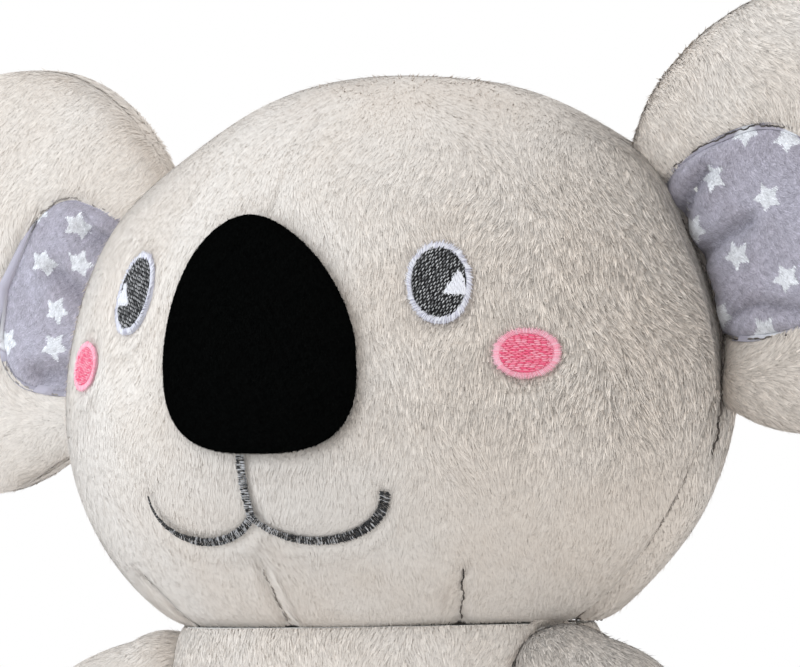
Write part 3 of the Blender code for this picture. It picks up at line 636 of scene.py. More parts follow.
SEAM_SIZES = {
    "side": (1.5 * MM, 2.6 * MM, 0.5 * MM),
    "crown": (0.2 * MM, 3.0 * MM, -1.0, 0.1),
    "neck": (0.8 * MM, 3.0 * MM, -1.0),
    "ear_root": (1.2 * MM, 2.0 * MM, 0.55 * MM),
    "dart": (1.5 * MM, 2.2 * MM, 0.85 * MM),
    "brow": (0.9 * MM, 2.6 * MM, 0.0),
    "lining": (1.5 * MM, 2.4 * MM, 0.25 * MM),
    "ear_edge": (0.4 * MM, 2.0 * MM, -1.0, 0.1),
    "arm": (1.2 * MM, 2.2 * MM, 0.35 * MM),
    "sole": (1.3 * MM, 2.2 * MM, 0.3 * MM),
    "body": (1.5 * MM, 2.6 * MM, 0.4 * MM),
}


def seam_of(kind: str, line: Array) -> Seam:
    """A seam of a kind along a line."""
    return Seam(line, *SEAM_SIZES[kind])


@dataclass
class Panel:
    """One cloth panel: a grid laid on a form, drawn in at its seams and covered in pile."""

    name: str
    place: Lay
    middle: Array
    columns: int
    rows: int
    pile: Pile
    finish: PileFinish
    seams: list[Seam] = field(default_factory=list)
    press: Field | None = None
    room: Field | None = None
    comb: Lay | None = None
    printed: Field | None = None
    # Painted shade: a field that lowers the tufts' shade where shade falls on the panel.
    tone: Field | None = None
    # depth: partly real, partly painted light; it sets the tufts' height and loose share, and scales the painted root
    # shade and the mottle's contrast.
    depth: Field | float = 0.45
    lumps: float = 0.5 * MM
    lump_reach: float = 55 * MM

    def outer(self) -> BMesh:
        """The panel's outer face, with its normals outward."""
        shape = bmesh.new()
        bmesh.ops.create_grid(shape, x_segments=self.columns, y_segments=self.rows, size=1)
        flat = np.array([vert.co[:2] for vert in shape.verts]) / 2 + 0.5
        for vert, point in zip(shape.verts, self.place(flat[:, 0], flat[:, 1])):
            vert.co = point
        bmesh.ops.remove_doubles(shape, verts=shape.verts[:], dist=WELD)
        bmesh.ops.dissolve_degenerate(shape, edges=shape.edges[:], dist=WELD)
        shape.normal_update()
        middle = Vector(self.middle)
        outward = 0.0
        for face in shape.faces:
            outward += (face.calc_center_median() - middle).dot(face.normal) * face.calc_area()
        if outward < 0:
            bmesh.ops.reverse_faces(shape, faces=shape.faces[:])
            shape.normal_update()
        return shape

    def relief(self, points: Array) -> Array:
        """How far each point moves out along its normal."""
        moved = self.lumps * wander(points, self.lump_reach, self.pile.seed + 40)
        for seam in self.seams:
            moved = moved - seam.dip(points)
        if self.press:
            moved = moved - self.press(points)
        return moved

    def roots(self, mesh: Mesh) -> Roots:
        """Where the tufts stand on the outer face."""
        pile = self.pile
        rng = np.random.default_rng(pile.seed)
        mesh.calc_loop_triangles()
        corners = np.empty(len(mesh.loop_triangles) * 3, np.int32)
        mesh.loop_triangles.foreach_get("vertices", corners)
        corners = corners.reshape(-1, 3)
        points = coordinates(mesh)
        normals = coordinates(mesh, "normal")
        a, b, c = (points[corners[:, k]] for k in range(3))
        areas = np.linalg.norm(np.cross(b - a, c - a), axis=1) / 2
        count = round(areas.sum() / MM**2 * pile.density)
        passed = np.cumsum(areas)
        picked = np.searchsorted(passed, (np.arange(count) + rng.random(count)) / count * passed[-1])
        picked = np.minimum(picked, len(areas) - 1)
        u, v = rng.random((2, count))
        over = u + v > 1
        u[over], v[over] = 1 - u[over], 1 - v[over]
        shares = np.stack([1 - u - v, u, v], axis=1)[:, :, None]
        places = (points[corners[picked]] * shares).sum(axis=1)
        normals = unit((normals[corners[picked]] * shares).sum(axis=1))
        lengths = np.full(count, pile.length) * rng.uniform(*pile.length_shares, count)
        keep = np.ones(count, bool)
        for sewn in self.seams:
            away = distance_to(places, sewn.line)
            keep &= away > sewn.part
            lengths *= np.clip(1 - sewn.shorten * (1 - away / pile.seam_reach), 0, 1)
        if self.room:
            room = self.room(places)
            keep &= room > 0
            lengths *= np.clip(0.35 + 0.65 * room / pile.edge_reach, 0, 1)
        places, normals, lengths = places[keep], normals[keep], lengths[keep]
        count = len(places)
        flow = self.comb(places, normals) if self.comb else downward(places, normals)
        flow = swirled(flow, normals, pile.swirl * wander(places, pile.broad_swirl, pile.seed + 7))
        flow = swirled(flow, normals, 0.5 * pile.swirl * wander(places, pile.fine_swirl, pile.seed + 9))
        depths = self.depth(places) if callable(self.depth) else np.full(count, self.depth)
        loose = rng.random((count, 1)) < pile.loose * (0.2 + 1.6 * depths[:, None])
        aside = along_cloth(rng.normal(size=normals.shape), normals)
        risen = np.where(loose, rng.uniform(*pile.rise_shares, (count, 1)), 0)
        ways = unit(flow + aside * rng.normal(scale=pile.stray, size=(count, 1)) + normals * risen)
        widths = pile.width * rng.uniform(*pile.width_shares, count)
        sizes = np.stack([widths, lengths, lengths], axis=1)
        prints = self.printed(places + ways * lengths[:, None] / 2) if self.printed else None
        heights = rng.uniform(*pile.stand_shares, (count, 1)) * pile.length * (~loose)
        heights = heights * (0.3 + 0.7 * depths[:, None])
        mottle = 0.065 * rng.normal(size=count) + 0.05 * wander(places, pile.mottle_reach, 5)
        # The mottle is tone that differs at random; depth scales its contrast as painted light, stronger where the
        # light rakes the pile and weaker where it washes it out.
        shades = 0.5 + mottle * (0.25 + 4.2 * depths**1.6)
        # Painted shade is taken off the tufts' tone here.
        if self.tone:
            shades = shades - self.tone(places)
        shades = np.clip(shades, 0, 1)
        return Roots(places + normals * heights, ways, normals, sizes, shades, prints, normals, depths)

    def build(self, template: Mesh) -> Object:
        """The finished panel: cloth with its pile."""
        shape = self.outer()
        points = np.array([vert.co for vert in shape.verts])
        normals = np.array([vert.normal for vert in shape.verts])
        moved = points + normals * self.relief(points)[:, None]
        for vert, point in zip(shape.verts, moved):
            vert.co = point
        shape.normal_update()
        open_face = bpy.data.meshes.new(f"{self.name}_face")
        shape.to_mesh(open_face)
        roots = self.roots(open_face)
        thicken(shape)
        cloth = finished(f"{self.name}_cloth", shape)
        count = len(cloth.vertices)
        # The cloth between the tufts takes a colour near the roots': painted shade deep in the pile.
        for name, value in (("tip", 0.25), ("shade", 0.5), ("turn", 0.0), ("depth", 0.6)):
            carry(cloth, name, np.full(count, value))
        carry(cloth, "print", self.printed(coordinates(cloth)) if self.printed else np.zeros(count))
        return plant(self.name, roots, template, self.finish, cloth)


def stuff(
    name: str, place: Lay, middle: Array, body: str, node: str
) -> None:
    """Makes and dresses the wadding inside a limb.

    Args:
        name: The piece's name.
        place: Lays a closed grid on the wadding's outside.
        middle: A place inside it.
        body: The body that it rides on.
        node: The filling that it stands for.
    """
    mesh = finished(name, Panel(name, place, middle, *STUFFING_GRID, Pile(), PLUSH).outer())
    mesh.materials.append(WADDING.material())
    dress(linked(name, mesh), body, Slot.WADDING, node)


def thicken(shape: BMesh) -> None:
    """Gives an open face the cloth's thickness, inward, and closes its edge."""
    outer_rim = [edge for edge in shape.edges if edge.is_boundary]
    copied = bmesh.ops.duplicate(shape, geom=shape.verts[:] + shape.edges[:] + shape.faces[:])["geom"]
    shape.normal_update()
    for vert in (item for item in copied if isinstance(item, BMVert)):
        vert.co -= vert.normal * CLOTH
    inner_rim = [item for item in copied if isinstance(item, BMEdge) and item.is_boundary]
    bmesh.ops.reverse_faces(shape, faces=[item for item in copied if isinstance(item, BMFace)])
    bmesh.ops.bridge_loops(shape, edges=outer_rim + inner_rim)
    bmesh.ops.recalc_face_normals(shape, faces=shape.faces[:])


def downward(points: Array, normals: Array) -> Array:
    """The pile's lie on an upright part: straight down the cloth."""
    down = np.broadcast_to(np.array([0.0, 0.0, -1.0]), points.shape)
    return along_cloth(down, normals)


def along_cloth(ways: Array, normals: Array) -> Array:
    """Directions laid flat on the cloth."""
    return unit(ways - normals * (ways * normals).sum(axis=1, keepdims=True))


def swirled(flow: Array, normals: Array, angles: Array) -> Array:
    """Directions turned about the cloth's normal."""
    return flow * np.cos(angles)[:, None] + np.cross(normals, flow) * np.sin(angles)[:, None]


NECK = np.array(next(joint["pos_m"] for joint in frame["joints"] if joint["name"] == "head_turn"))


@dataclass(frozen=True)
class HeadForm:
    """The head's form: a wide ball, fuller toward the muzzle."""

    half_width: float = 106.5 * MM
    front_depth: float = 76.5 * MM
    back_depth: float = 77.5 * MM
    crown: float = 89.3 * MM
    jowl: float = 88.3 * MM
    to_neck: float = 72.5 * MM
    roundness: float = 2.11
    face_roundness: float = 0.627
    lean: float = 0.056
    muzzle: float = 0.136
    muzzle_drop: float = 38.0 * MM
    body_forward: float = 6.0 * MM

    @property
    def centre(self) -> Array:
        """The head's middle, over the neck."""
        return NECK + np.array([0, self.body_forward, self.to_neck])

    def depth(self, z: Array) -> Array:
        """The face's depth at a height, swollen at the muzzle."""
        return self.front_depth * (1 + self.muzzle * bell(z + self.muzzle_drop, self.muzzle_drop))

    def girth(self, z: Array) -> Array:
        """The share of the full width that is left at a height."""
        reach = np.where(z > 0, self.crown, self.jowl)
        return np.maximum(1 - np.abs(z / reach) ** self.roundness, 0) ** (1 / self.roundness)

    def at(self, turn: Array, height: Array) -> Array:
        """Places on the head by their turn from the face and their height angle."""
        sine = np.sin(height)
        z = np.where(sine > 0, self.crown, self.jowl) * np.sign(sine) * np.abs(sine) ** (2 / self.roundness)
        girth = np.abs(np.cos(height)) ** (2 / self.roundness)
        facing = np.cos(turn)
        front = -self.depth(z) * girth * np.abs(facing) ** (2 * self.face_roundness)
        back = self.back_depth * girth * np.abs(facing)
        y = np.where(facing > 0, front, back) + self.lean * z
        return np.stack([self.half_width * girth * np.sin(turn), y, z], axis=1) + self.centre

    @property
    def lowest(self) -> float:
        """The height angle of the neck."""
        return -math.asin((self.to_neck / self.jowl) ** (self.roundness / 2))

    def face(self, x: Array, z: Array, lift: float = 0.0) -> Array:
        """Places on the face from their distance aside and up from the head's middle."""
        place = np.stack([x, self.face_y(x, z), z], axis=1)
        return place + self.face_normal(x, z) * lift + self.centre

    def face_y(self, x: Array, z: Array) -> Array:
        """How far forward the face lies."""
        girth = self.girth(z)
        across = np.maximum(1 - (x / (self.half_width * np.maximum(girth, 1e-6))) ** 2, 0)
        return -self.depth(z) * girth * across**self.face_roundness + self.lean * z

    def face_normal(self, x: Array, z: Array) -> Array:
        """The face's outward direction."""
        step = GAP
        slope_x = (self.face_y(x + step, z) - self.face_y(x - step, z)) / (2 * step)
        slope_z = (self.face_y(x, z + step) - self.face_y(x, z - step)) / (2 * step)
        return unit(np.stack([slope_x, -np.ones_like(slope_x), slope_z], axis=1))

    def outside(self, points: Array) -> Array:
        """Above zero where a place, taken from the head's middle, lies outside the cloth."""
        x, y, z = points.T
        girth = np.maximum(self.girth(z), 1e-6)
        y = y - self.lean * z
        across = (x / (self.half_width * girth)) ** 2
        front = across + (np.maximum(-y, 0) / (self.depth(z) * girth)) ** (1 / self.face_roundness) - 1
        back = across + (y / (self.back_depth * girth)) ** 2 - 1
        level = np.where(y < 0, front, back)
        return np.where((z >= self.crown) | (z <= -self.jowl), 1.0, level)


CLOTH_HEAD = HeadForm()
LOFT = 2.3 * MM
SWOLLEN = ("half_width", "front_depth", "back_depth", "crown", "jowl")
HEAD = replace(CLOTH_HEAD, **{name: getattr(CLOTH_HEAD, name) + LOFT for name in SWOLLEN})


@dataclass(frozen=True)
class Oval:
    """An embroidered oval on the face."""

    out: float
    up: float
    half_width: float
    half_height: float
    tilt: float = 0.0

    @property
    def turned(self) -> float:
        """How much narrower the oval looks from straight ahead."""
        return float(abs(HEAD.face_normal(np.array([abs(self.out)]), np.array([self.up]))[0, 1]))

    def flat(self, x: Array, z: Array) -> tuple[Array, Array]:
        """A place in the oval's own measure, across and along."""
        across, along = (x - self.out) / self.turned, z - self.up
        cosine, sine = math.cos(self.tilt), math.sin(self.tilt)
        return across * cosine - along * sine, across * sine + along * cosine

    def on_face(self, across: Array, along: Array) -> tuple[Array, Array]:
        """The reverse of flat."""
        cosine, sine = math.cos(self.tilt), math.sin(self.tilt)
        aside = across * cosine + along * sine
        return self.out + aside * self.turned, self.up + along * cosine - across * sine

    def away(self, x: Array, z: Array) -> Array:
        """About how far a place lies outside the oval, in metres."""
        across, along = self.flat(x, z)
        level = np.sqrt((across / self.half_width) ** 2 + (along / self.half_height) ** 2)
        return (level - 1) * (self.half_width + self.half_height) / 2


@dataclass(frozen=True)
class NoseForm:
    """The nose patch: egg-shaped above and squarer below, on a low pad."""

    half_width: float = 31.7 * MM
    above: float = 41.7 * MM
    below: float = 27.3 * MM
    up: float = 5.3 * MM
    pad: float = 7.5 * MM
    corner: float = 2.9
    crest: float = 1.82
    lean: float = 8.7 * MM
    aside: float = -0.4 * MM
    bow: float = 4.4 * MM

    def outline(self, angle: Array) -> tuple[Array, Array]:
        """The edge at an angle from straight up."""
        across, along = np.sin(angle), np.cos(angle)
        low = along < 0
        power = np.where(low, 2 / self.corner, 2 / self.crest)
        x = np.sign(across) * np.abs(across) ** power * self.half_width
        z = np.where(low, -self.below, self.above) * np.abs(along) ** power
        return x - self.drift(z), z + self.up

    def drift(self, z: Array) -> Array:
        """How far the nose leans to the toy's right at a height over its widest place."""
        upper, lower = np.maximum(z, 0) / self.above, np.maximum(-z, 0) / self.below
        return self.aside + self.lean * upper**1.3 - self.bow * lower

    def away(self, x: Array, z: Array) -> Array:
        """About how far a place lies outside the nose, in metres."""
        z = z - self.up
        x = x + self.drift(z)
        power, reach = np.where(z > 0, self.crest, self.corner), np.where(z > 0, self.above, self.below)
        level = (np.abs(x / self.half_width) ** power + np.abs(z / reach) ** power) ** (1 / power)
        return (level - 1) * self.half_width

    def dome(self, angle: Array, share: Array) -> Array:
        """Places on the pad, from its edge at a share of 1 to its middle."""
        x, z = self.outline(angle)
        middle = self.up + (self.above - self.below) / 2
        lift = GAP + CLOTH + (self.pad - GAP) * np.sqrt(np.maximum(1 - share**2, 0))
        flat_x, flat_z = x * share, middle + (z - middle) * share
        base = np.stack([flat_x, HEAD.face_y(flat_x, flat_z), flat_z], axis=1)
        return base + HEAD.face_normal(flat_x, flat_z) * lift[:, None] + HEAD.centre


NOSE = NoseForm()


@dataclass
class Embroidery:
    """Stitches gathered one by one on the face, and planted together."""

    lift: float = 0.5 * MM
    starts: list[Array] = field(default_factory=list)
    ends: list[Array] = field(default_factory=list)
    widths: list[float] = field(default_factory=list)
    shades: list[float] = field(default_factory=list)
    raised: list[float] = field(default_factory=list)

    def stitch(
        self, start: Sequence[float], end: Sequence[float], width: float, shade: float, raised: float = 0.0
    ) -> None:
        """One stitch between two places (x, z) on the face, raised over the others by an amount."""
        self.raised.append(raised)
        self.starts.append(np.array(start))
        self.ends.append(np.array(end))
        self.widths.append(width)
        self.shades.append(shade)

    def roots(self) -> Roots:
        """The stitches as roots to plant."""
        starts, ends = np.array(self.starts), np.array(self.ends)
        lifts = self.lift + np.array(self.raised)[:, None]
        first = HEAD.face(starts[:, 0], starts[:, 1], lifts)
        last = HEAD.face(ends[:, 0], ends[:, 1], lifts)
        middles = (starts + ends) / 2
        widths = np.array(self.widths)
        ways = last - first
        sizes = np.stack([widths, widths, np.linalg.norm(ways, axis=1)], axis=1)
        normals = HEAD.face_normal(middles[:, 0], middles[:, 1])
        sagitta = HEAD.face(middles[:, 0], middles[:, 1], lifts)
        return Roots((first + last) / 4 + sagitta / 2, unit(ways), normals, sizes, np.array(self.shades))


def backing(outline: Outline, lift: float, shade: float) -> Mesh:
    """A thin patch of thread under stitches on the face.

    Args:
        outline: The patch's edge as (x, z), by the angle from 0 to a full turn.
        lift: How far its face lies over the cloth.
        shade: Its tone, from the thread's dark to its light colour.

    Returns:
        The patch, closed.
    """
    shape = bmesh.new()
    bmesh.ops.create_grid(shape, x_segments=64, y_segments=8, size=1)
    flat = np.array([vert.co[:2] for vert in shape.verts]) / 2 + 0.5
    x, z = outline(flat[:, 0] * TURN)
    middle = np.array(outline(np.linspace(0, TURN, 64, endpoint=False))).mean(axis=1)
    x, z = middle[0] + (x - middle[0]) * flat[:, 1], middle[1] + (z - middle[1]) * flat[:, 1]
    for vert, point in zip(shape.verts, HEAD.face(x, z, lift)):
        vert.co = point
    bmesh.ops.remove_doubles(shape, verts=shape.verts[:], dist=WELD / 2)
    shape.normal_update()
    if sum(face.normal.y * face.calc_area() for face in shape.faces) > 0:
        bmesh.ops.reverse_faces(shape, faces=shape.faces[:])
    thicken(shape)
    mesh = finished("backing", shape)
    for name, value in (("tip", 0.5), ("shade", shade), ("turn", 0.0), ("print", 0.0)):
        carry(mesh, name, np.full(len(mesh.vertices), value))
    return mesh


@dataclass
class Patch:
    """An embroidered oval on one side of the face: a ring of short stitches round a fill."""

    side: Side
    kind: str = "patch"
    lift: float = 0.5 * MM
    ring_lift: float = 0.5 * MM
    ring_pitch: float = 0.42 * MM
    ring_yarn: float = 0.33 * MM
    ring_skew: float = 0.0
    ring_shares: tuple[float, float] = (0.99, 1.06)
    ring_shades: tuple[float, float] = (0.55, 1.0)

    def oval(self, grown: float = 0.0) -> Oval:
        """The patch's outline on the toy's left, grown by an amount."""
        return Oval(self.out, self.up, self.half_width + grown, self.half_height + grown, self.tilt)

    def place(self, oval: Oval, across: float, along: float) -> tuple[float, float]:
        """A place (x, z) on this side's patch from one in the oval's measure."""
        x, z = oval.on_face(np.array([across]), np.array([along]))
        return self.side.value * float(x[0]), float(z[0])

    def edge(self, grown: float) -> Outline:
        """The outline as a function of the angle, grown by an amount."""
        oval = self.oval(grown)

        def outline(angle: Array) -> tuple[Array, Array]:
            """The edge's (x, z) at an angle."""
            x, z = oval.on_face(oval.half_width * np.cos(angle), oval.half_height * np.sin(angle))
            return x * self.side.value, z

        return outline

    def ground(self, grown: float, lift: float, shade: float) -> Mesh:
        """A thin oval of thread under the stitches."""
        return backing(self.edge(grown), lift, shade)

    def ring(self, rng: np.random.Generator) -> Embroidery:
        """The satin ring: short stitches across the outline."""
        work = Embroidery(lift=self.ring_lift)
        oval = self.oval()
        inner = 1 - self.border / min(self.half_width, self.half_height)
        count = round(TURN * (self.half_width + self.half_height) / 2 / self.ring_pitch)
        for step in range(count):
            angle = TURN * step / count
            ends = []
            for share, turn in ((rng.uniform(*self.ring_shares), angle), (inner, angle + self.ring_skew)):
                across, along = self.half_width * share * math.cos(turn), self.half_height * share * math.sin(turn)
                ends.append(self.place(oval, across, along))
            work.stitch(*ends, self.ring_yarn, rng.uniform(*self.ring_shades))
        return work

    def sew(
        self, part: str, work: Embroidery, finish: ThreadFinish, slot: Slot, ground: Mesh,
        stitch: Mesh,
    ) -> None:
        """Plants one part's stitches on its ground, and dresses it."""
        piece = plant(f"{self.kind}_{part}_stitches_{self.side.label}", work.roots(), stitch, finish, ground)
        dress(piece, "head", slot, f"{self.kind}_{part}_{self.side.label}")


@dataclass
class Eye(Patch):
    """One embroidered eye: satin ring, charcoal fill with short pale stitches as a painted highlight of its yarn's
    sheen, and a white wedge.
    """

    kind: str = "eye"
    out: float = 51.6 * MM
    up: float = 26.4 * MM
    half_width: float = 9.6 * MM
    half_height: float = 12.5 * MM
    border: float = 1.7 * MM
    tilts: tuple[float, float] = (math.radians(-27), math.radians(-16))
    tip: tuple[float, float] = (1.6 * MM, -3.4 * MM)
    top: tuple[float, float] = (5.7 * MM, 3.6 * MM)
    low: tuple[float, float] = (9.1 * MM, -3.6 * MM)
    bulge: float = 0.4 * MM
    ring_lift: float = 0.6 * MM
    ring_pitch: float = 0.27 * MM
    ring_yarn: float = 0.31 * MM
    ring_skew: float = 0.08
    ring_shares: tuple[float, float] = (0.93, 1.06)
    ring_shades: tuple[float, float] = (0.1, 1)
    ring_ground: tuple[float, float, float] = (-0.2 * MM, 0.25 * MM, 0.35)
    slant: float = math.radians(60)
    pitch: float = 0.56 * MM
    yarn: float = 0.46 * MM
    fill_grown: float = 0.1 * MM
    fill_ground: tuple[float, float] = (0.42 * MM, 0.01)
    length: float = 2.2 * MM
    astray: float = 0.12 * MM
    gleam_pitch: float = 0.74 * MM
    gleam_length: float = 1.55 * MM
    gleam_astray: float = 0.4 * MM
    gleam_dash: float = 0.72
    gleam_raised: float = 0.2 * MM
    wedge_slant: float = math.radians(78)
    wedge_pitch: float = 0.3 * MM
    wedge_lift: float = 0.62 * MM
    wedge_ground: tuple[float, float] = (0.72 * MM, 1.0)

    @property
    def tilt(self) -> float:
        """How far the oval's top leans toward the nose."""
        return self.side.pick(self.tilts)

    def wedge(self) -> Array:
        """The wedge's corners: tip, low corner, the bulge of its outer side, top."""
        bulge = [0.5 * (a + b) + self.bulge * c for a, b, c in zip(self.top, self.low, (1, 0))]
        return np.array([self.tip, self.low, bulge, self.top])

    def wedge_edge(self, angle: Array) -> tuple[Array, Array]:
        """The wedge's outline by the share of a full turn: from tip to low corner, arc, and back."""
        corners = self.wedge()[[0, 1, 2, 3, 0]]
        share = angle / (TURN) * 4
        x, z = (np.interp(share, range(5), corners[:, axis]) for axis in range(2))
        return self.side.value * (self.out + x * self.oval().turned), self.up + z

    def in_wedge(self, x: float, z: float) -> bool:
        """Whether a place (x, z) of this side's face lies in the white wedge."""
        point = np.array([(x * self.side.value - self.out) / self.oval().turned, z - self.up])
        corners = self.wedge()
        edges, away = np.roll(corners, -1, axis=0) - corners, point - corners
        return bool((edges[:, 0] * away[:, 1] - edges[:, 1] * away[:, 0] >= 0).all())

    def rows(
        self, work: Embroidery, rng: np.random.Generator, slant: float, pitch: float,
        inside: Callable[[float, float], bool], shades: tuple[float, float], gleam: bool = False,
    ) -> None:
        """Adds rows of fill stitches.

        Args:
            work: Where the stitches go.
            rng: Varies lengths and shades.
            slant: The rows' direction from level.
            pitch: The spacing of the rows.
            inside: Tells whether a place (x, z) is to be filled.
            shades: The darkest and the lightest stitch.
            gleam: Whether the stitches are the short pale ones that lie over the others, a painted highlight of the
                yarn's sheen.
        """
        oval = self.oval(-self.border * 0.9)
        reach = self.half_height
        way = np.array([math.cos(slant), math.sin(slant)])
        across_way = np.array([-way[1], way[0]])
        length, stagger, astray_by, dash, raised = self.length, 0.37, self.astray, 1.0, 0.0
        if gleam:
            length, stagger, astray_by = self.gleam_length, 0.5, self.gleam_astray
            dash, raised = self.gleam_dash, self.gleam_raised
        yarn = self.yarn * (0.35 + 0.65 * dash)
        for index, offset in enumerate(np.arange(-reach, reach, pitch)):
            shift = (index % 4) * stagger % 1 * length
            for along in np.arange(-reach - length + shift, reach, length):
                astray = rng.uniform(-0.5, 0.5, 2) * astray_by
                centre = across_way * (offset + astray[0]) + way * (along + length / 2 + astray[1])
                level = math.hypot(centre[0] / oval.half_width, centre[1] / oval.half_height)
                if level > 0.98 or not inside(*self.place(oval, *centre)):
                    continue
                ends = [self.place(oval, *(centre + way * part * length * dash)) for part in (-0.5, 0.5)]
                work.stitch(*ends, yarn, rng.uniform(*shades), raised)

    def build(self, stitch: Mesh) -> None:
        """Makes and dresses the eye's three pieces."""
        rng = np.random.default_rng(31 + self.side.value)
        fill, wedge = Embroidery(lift=self.lift), Embroidery(lift=self.wedge_lift)
        slant = self.slant + self.tilt

        def beside(x: float, z: float) -> bool:
            """Whether a place (x, z) lies outside the wedge."""
            return not self.in_wedge(x, z)

        self.rows(fill, rng, slant, self.pitch, beside, (0.0, 0.08))
        # Pale dashes over the black fill: painted highlight of the yarn's sheen.
        self.rows(fill, rng, slant, self.gleam_pitch, beside, (0.2, 1.0), gleam=True)
        self.rows(wedge, rng, self.wedge_slant, self.wedge_pitch, self.in_wedge, (0.85, 1.0))
        self.sew("border", self.ring(rng), WHITE, Slot.WHITE, self.ground(*self.ring_ground), stitch)
        iris = self.ground(self.fill_grown - self.border, *self.fill_ground)
        self.sew("iris", fill, CHARCOAL, Slot.CHARCOAL, iris, stitch)
        self.sew("highlight", wedge, WHITE, Slot.WHITE, backing(self.wedge_edge, *self.wedge_ground), stitch)


@dataclass
class Cheek(Patch):
    """One pink cheek."""

    kind: str = "cheek"
    out: float = 75.0 * MM
    up: float = 5.5 * MM
    half_width: float = 10.2 * MM
    half_height: float = 7.3 * MM
    tilt: float = math.radians(4)
    border: float = 1.8 * MM
    pitch: float = 0.5 * MM
    yarn: float = 0.48 * MM
    length: float = 2.1 * MM
    shortest: float = 0.3 * MM
    inset: float = 0.1 * MM
    ring_ground: tuple[float, float, float] = (-0.9 * MM, 0.2 * MM, 1.0)
    fill_grown: float = 0.2 * MM
    fill_ground: tuple[float, float] = (0.4 * MM, 0.1)

    def fill(self, rng: np.random.Generator) -> Embroidery:
        """The oval inside the ring: level rows of stitches."""
        work, oval = Embroidery(lift=self.lift), self.oval()
        width = self.half_width - self.border - self.inset
        height = self.half_height - self.border - self.inset
        for index, along in enumerate(np.arange(-height, height, self.pitch)):
            half = width * math.sqrt(max(1 - (along / height) ** 2, 0))
            start = -half - (index % 2) / 2 * self.length
            while start < half:
                low, high = max(start, -half), min(start + self.length, half)
                if high - low > self.shortest:
                    ends = (self.place(oval, low, along), self.place(oval, high, along))
                    work.stitch(*ends, self.yarn, rng.uniform(0.08, 0.72))
                start += self.length * rng.uniform(0.8, 1.1)
        return work

    def build(self, stitch: Mesh) -> None:
        """Makes and dresses the cheek's two pieces."""
        rng = np.random.default_rng(51 + self.side.value)
        self.sew("border", self.ring(rng), PINK, Slot.PINK, self.ground(*self.ring_ground), stitch)
        ground = self.ground(self.fill_grown - self.border, *self.fill_ground)
        self.sew("fill", self.fill(rng), PINK, Slot.PINK, ground, stitch)


@dataclass
class Mouth:
    """The embroidered smile and its stem."""

    lobe_out: float = 19.0 * MM
    corner_up: float = -33.6 * MM
    half_width: float = 21.6 * MM
    depth: float = 13.6 * MM
    width: float = 2.3 * MM
    pitch: float = 0.25 * MM
    yarn: float = 0.3 * MM
    lift: float = 0.5 * MM
    slant: float = 0.2 * MM
    under_nose: float = 0.4 * MM
    stem_lean: float = -1.7 * MM
    right_share: float = 0.94

    def lobe(self) -> Array:
        """The toy's left lobe from the middle to its corner, as (x, z)."""
        meeting = math.acos(-self.lobe_out / self.half_width)
        angles = np.linspace(TURN - meeting, TURN, 60)
        return np.stack(
            [self.lobe_out + self.half_width * np.cos(angles), self.corner_up + self.depth * np.sin(angles)], axis=1
        )

    def stem(self) -> Array:
        """The line from the nose down to the lobes, as (x, z)."""
        top = NOSE.up - NOSE.below - self.under_nose
        heights = np.linspace(top, self.lobe()[0, 1], 20)
        return np.stack([np.linspace(self.stem_lean, 0, 20), heights], axis=1)

    def lines(self) -> list[Array]:
        """Every line of the mouth on the face, as (x, z)."""
        lobe = self.lobe()
        return [lobe, lobe * np.array([-self.right_share, 1]), self.stem()]

    def build(self, stitch: Mesh) -> None:
        """Makes and dresses the stitches of the smile."""
        rng = np.random.default_rng(71)
        work = Embroidery(lift=self.lift)
        for number, line in enumerate(self.lines()):
            places, ways = spaced(np.column_stack([line, np.zeros(len(line))]), self.pitch)
            count = len(places)
            for index, (place, way) in enumerate(zip(places, ways)):
                share = index / count
                half = self.width / 2 * (0.85 + 0.3 * share, min(1, 0.25 + 1.6 * (1 - share)), 1.2)[number]
                across = np.array([-way[1], way[0]]) * half
                slant = way[:2] * self.slant
                upper = place[:2] + across * rng.uniform(0.85, 1.1) + slant
                lower = place[:2] - across * rng.uniform(0.9, 1.3) - slant
                joint = place[:2] + across * rng.uniform(-0.5, 0.6)
                # Some stitches take the thread's light colour: a painted sheen highlight on the charcoal yarn, more of
                # them near the stem.
                pale = 0.5 if number == 2 else max(0.12, 0.5 - 0.5 * share)
                for first, last in ((upper, joint), (joint, lower)):
                    bright = rng.uniform(0.3, 1.0) if rng.random() < pale else rng.uniform(0, 0.08)
                    work.stitch(first, last, self.yarn, bright)
        piece = plant("mouth_stitches", work.roots(), stitch, CHARCOAL)
        dress(piece, "head", Slot.CHARCOAL, "mouth")


@dataclass(frozen=True)
class Sewing:
    """The stitches of a seam: their spacing, lengths, thickness and unevenness."""

    pitch: float = 1.9 * MM
    shortest: float = 2.0 * MM
    longest: float = 2.6 * MM
    yarn: float = 0.55 * MM
    heavy_yarn: float = 0.7 * MM
    astray: float = 0.15 * MM


SEWING = Sewing()


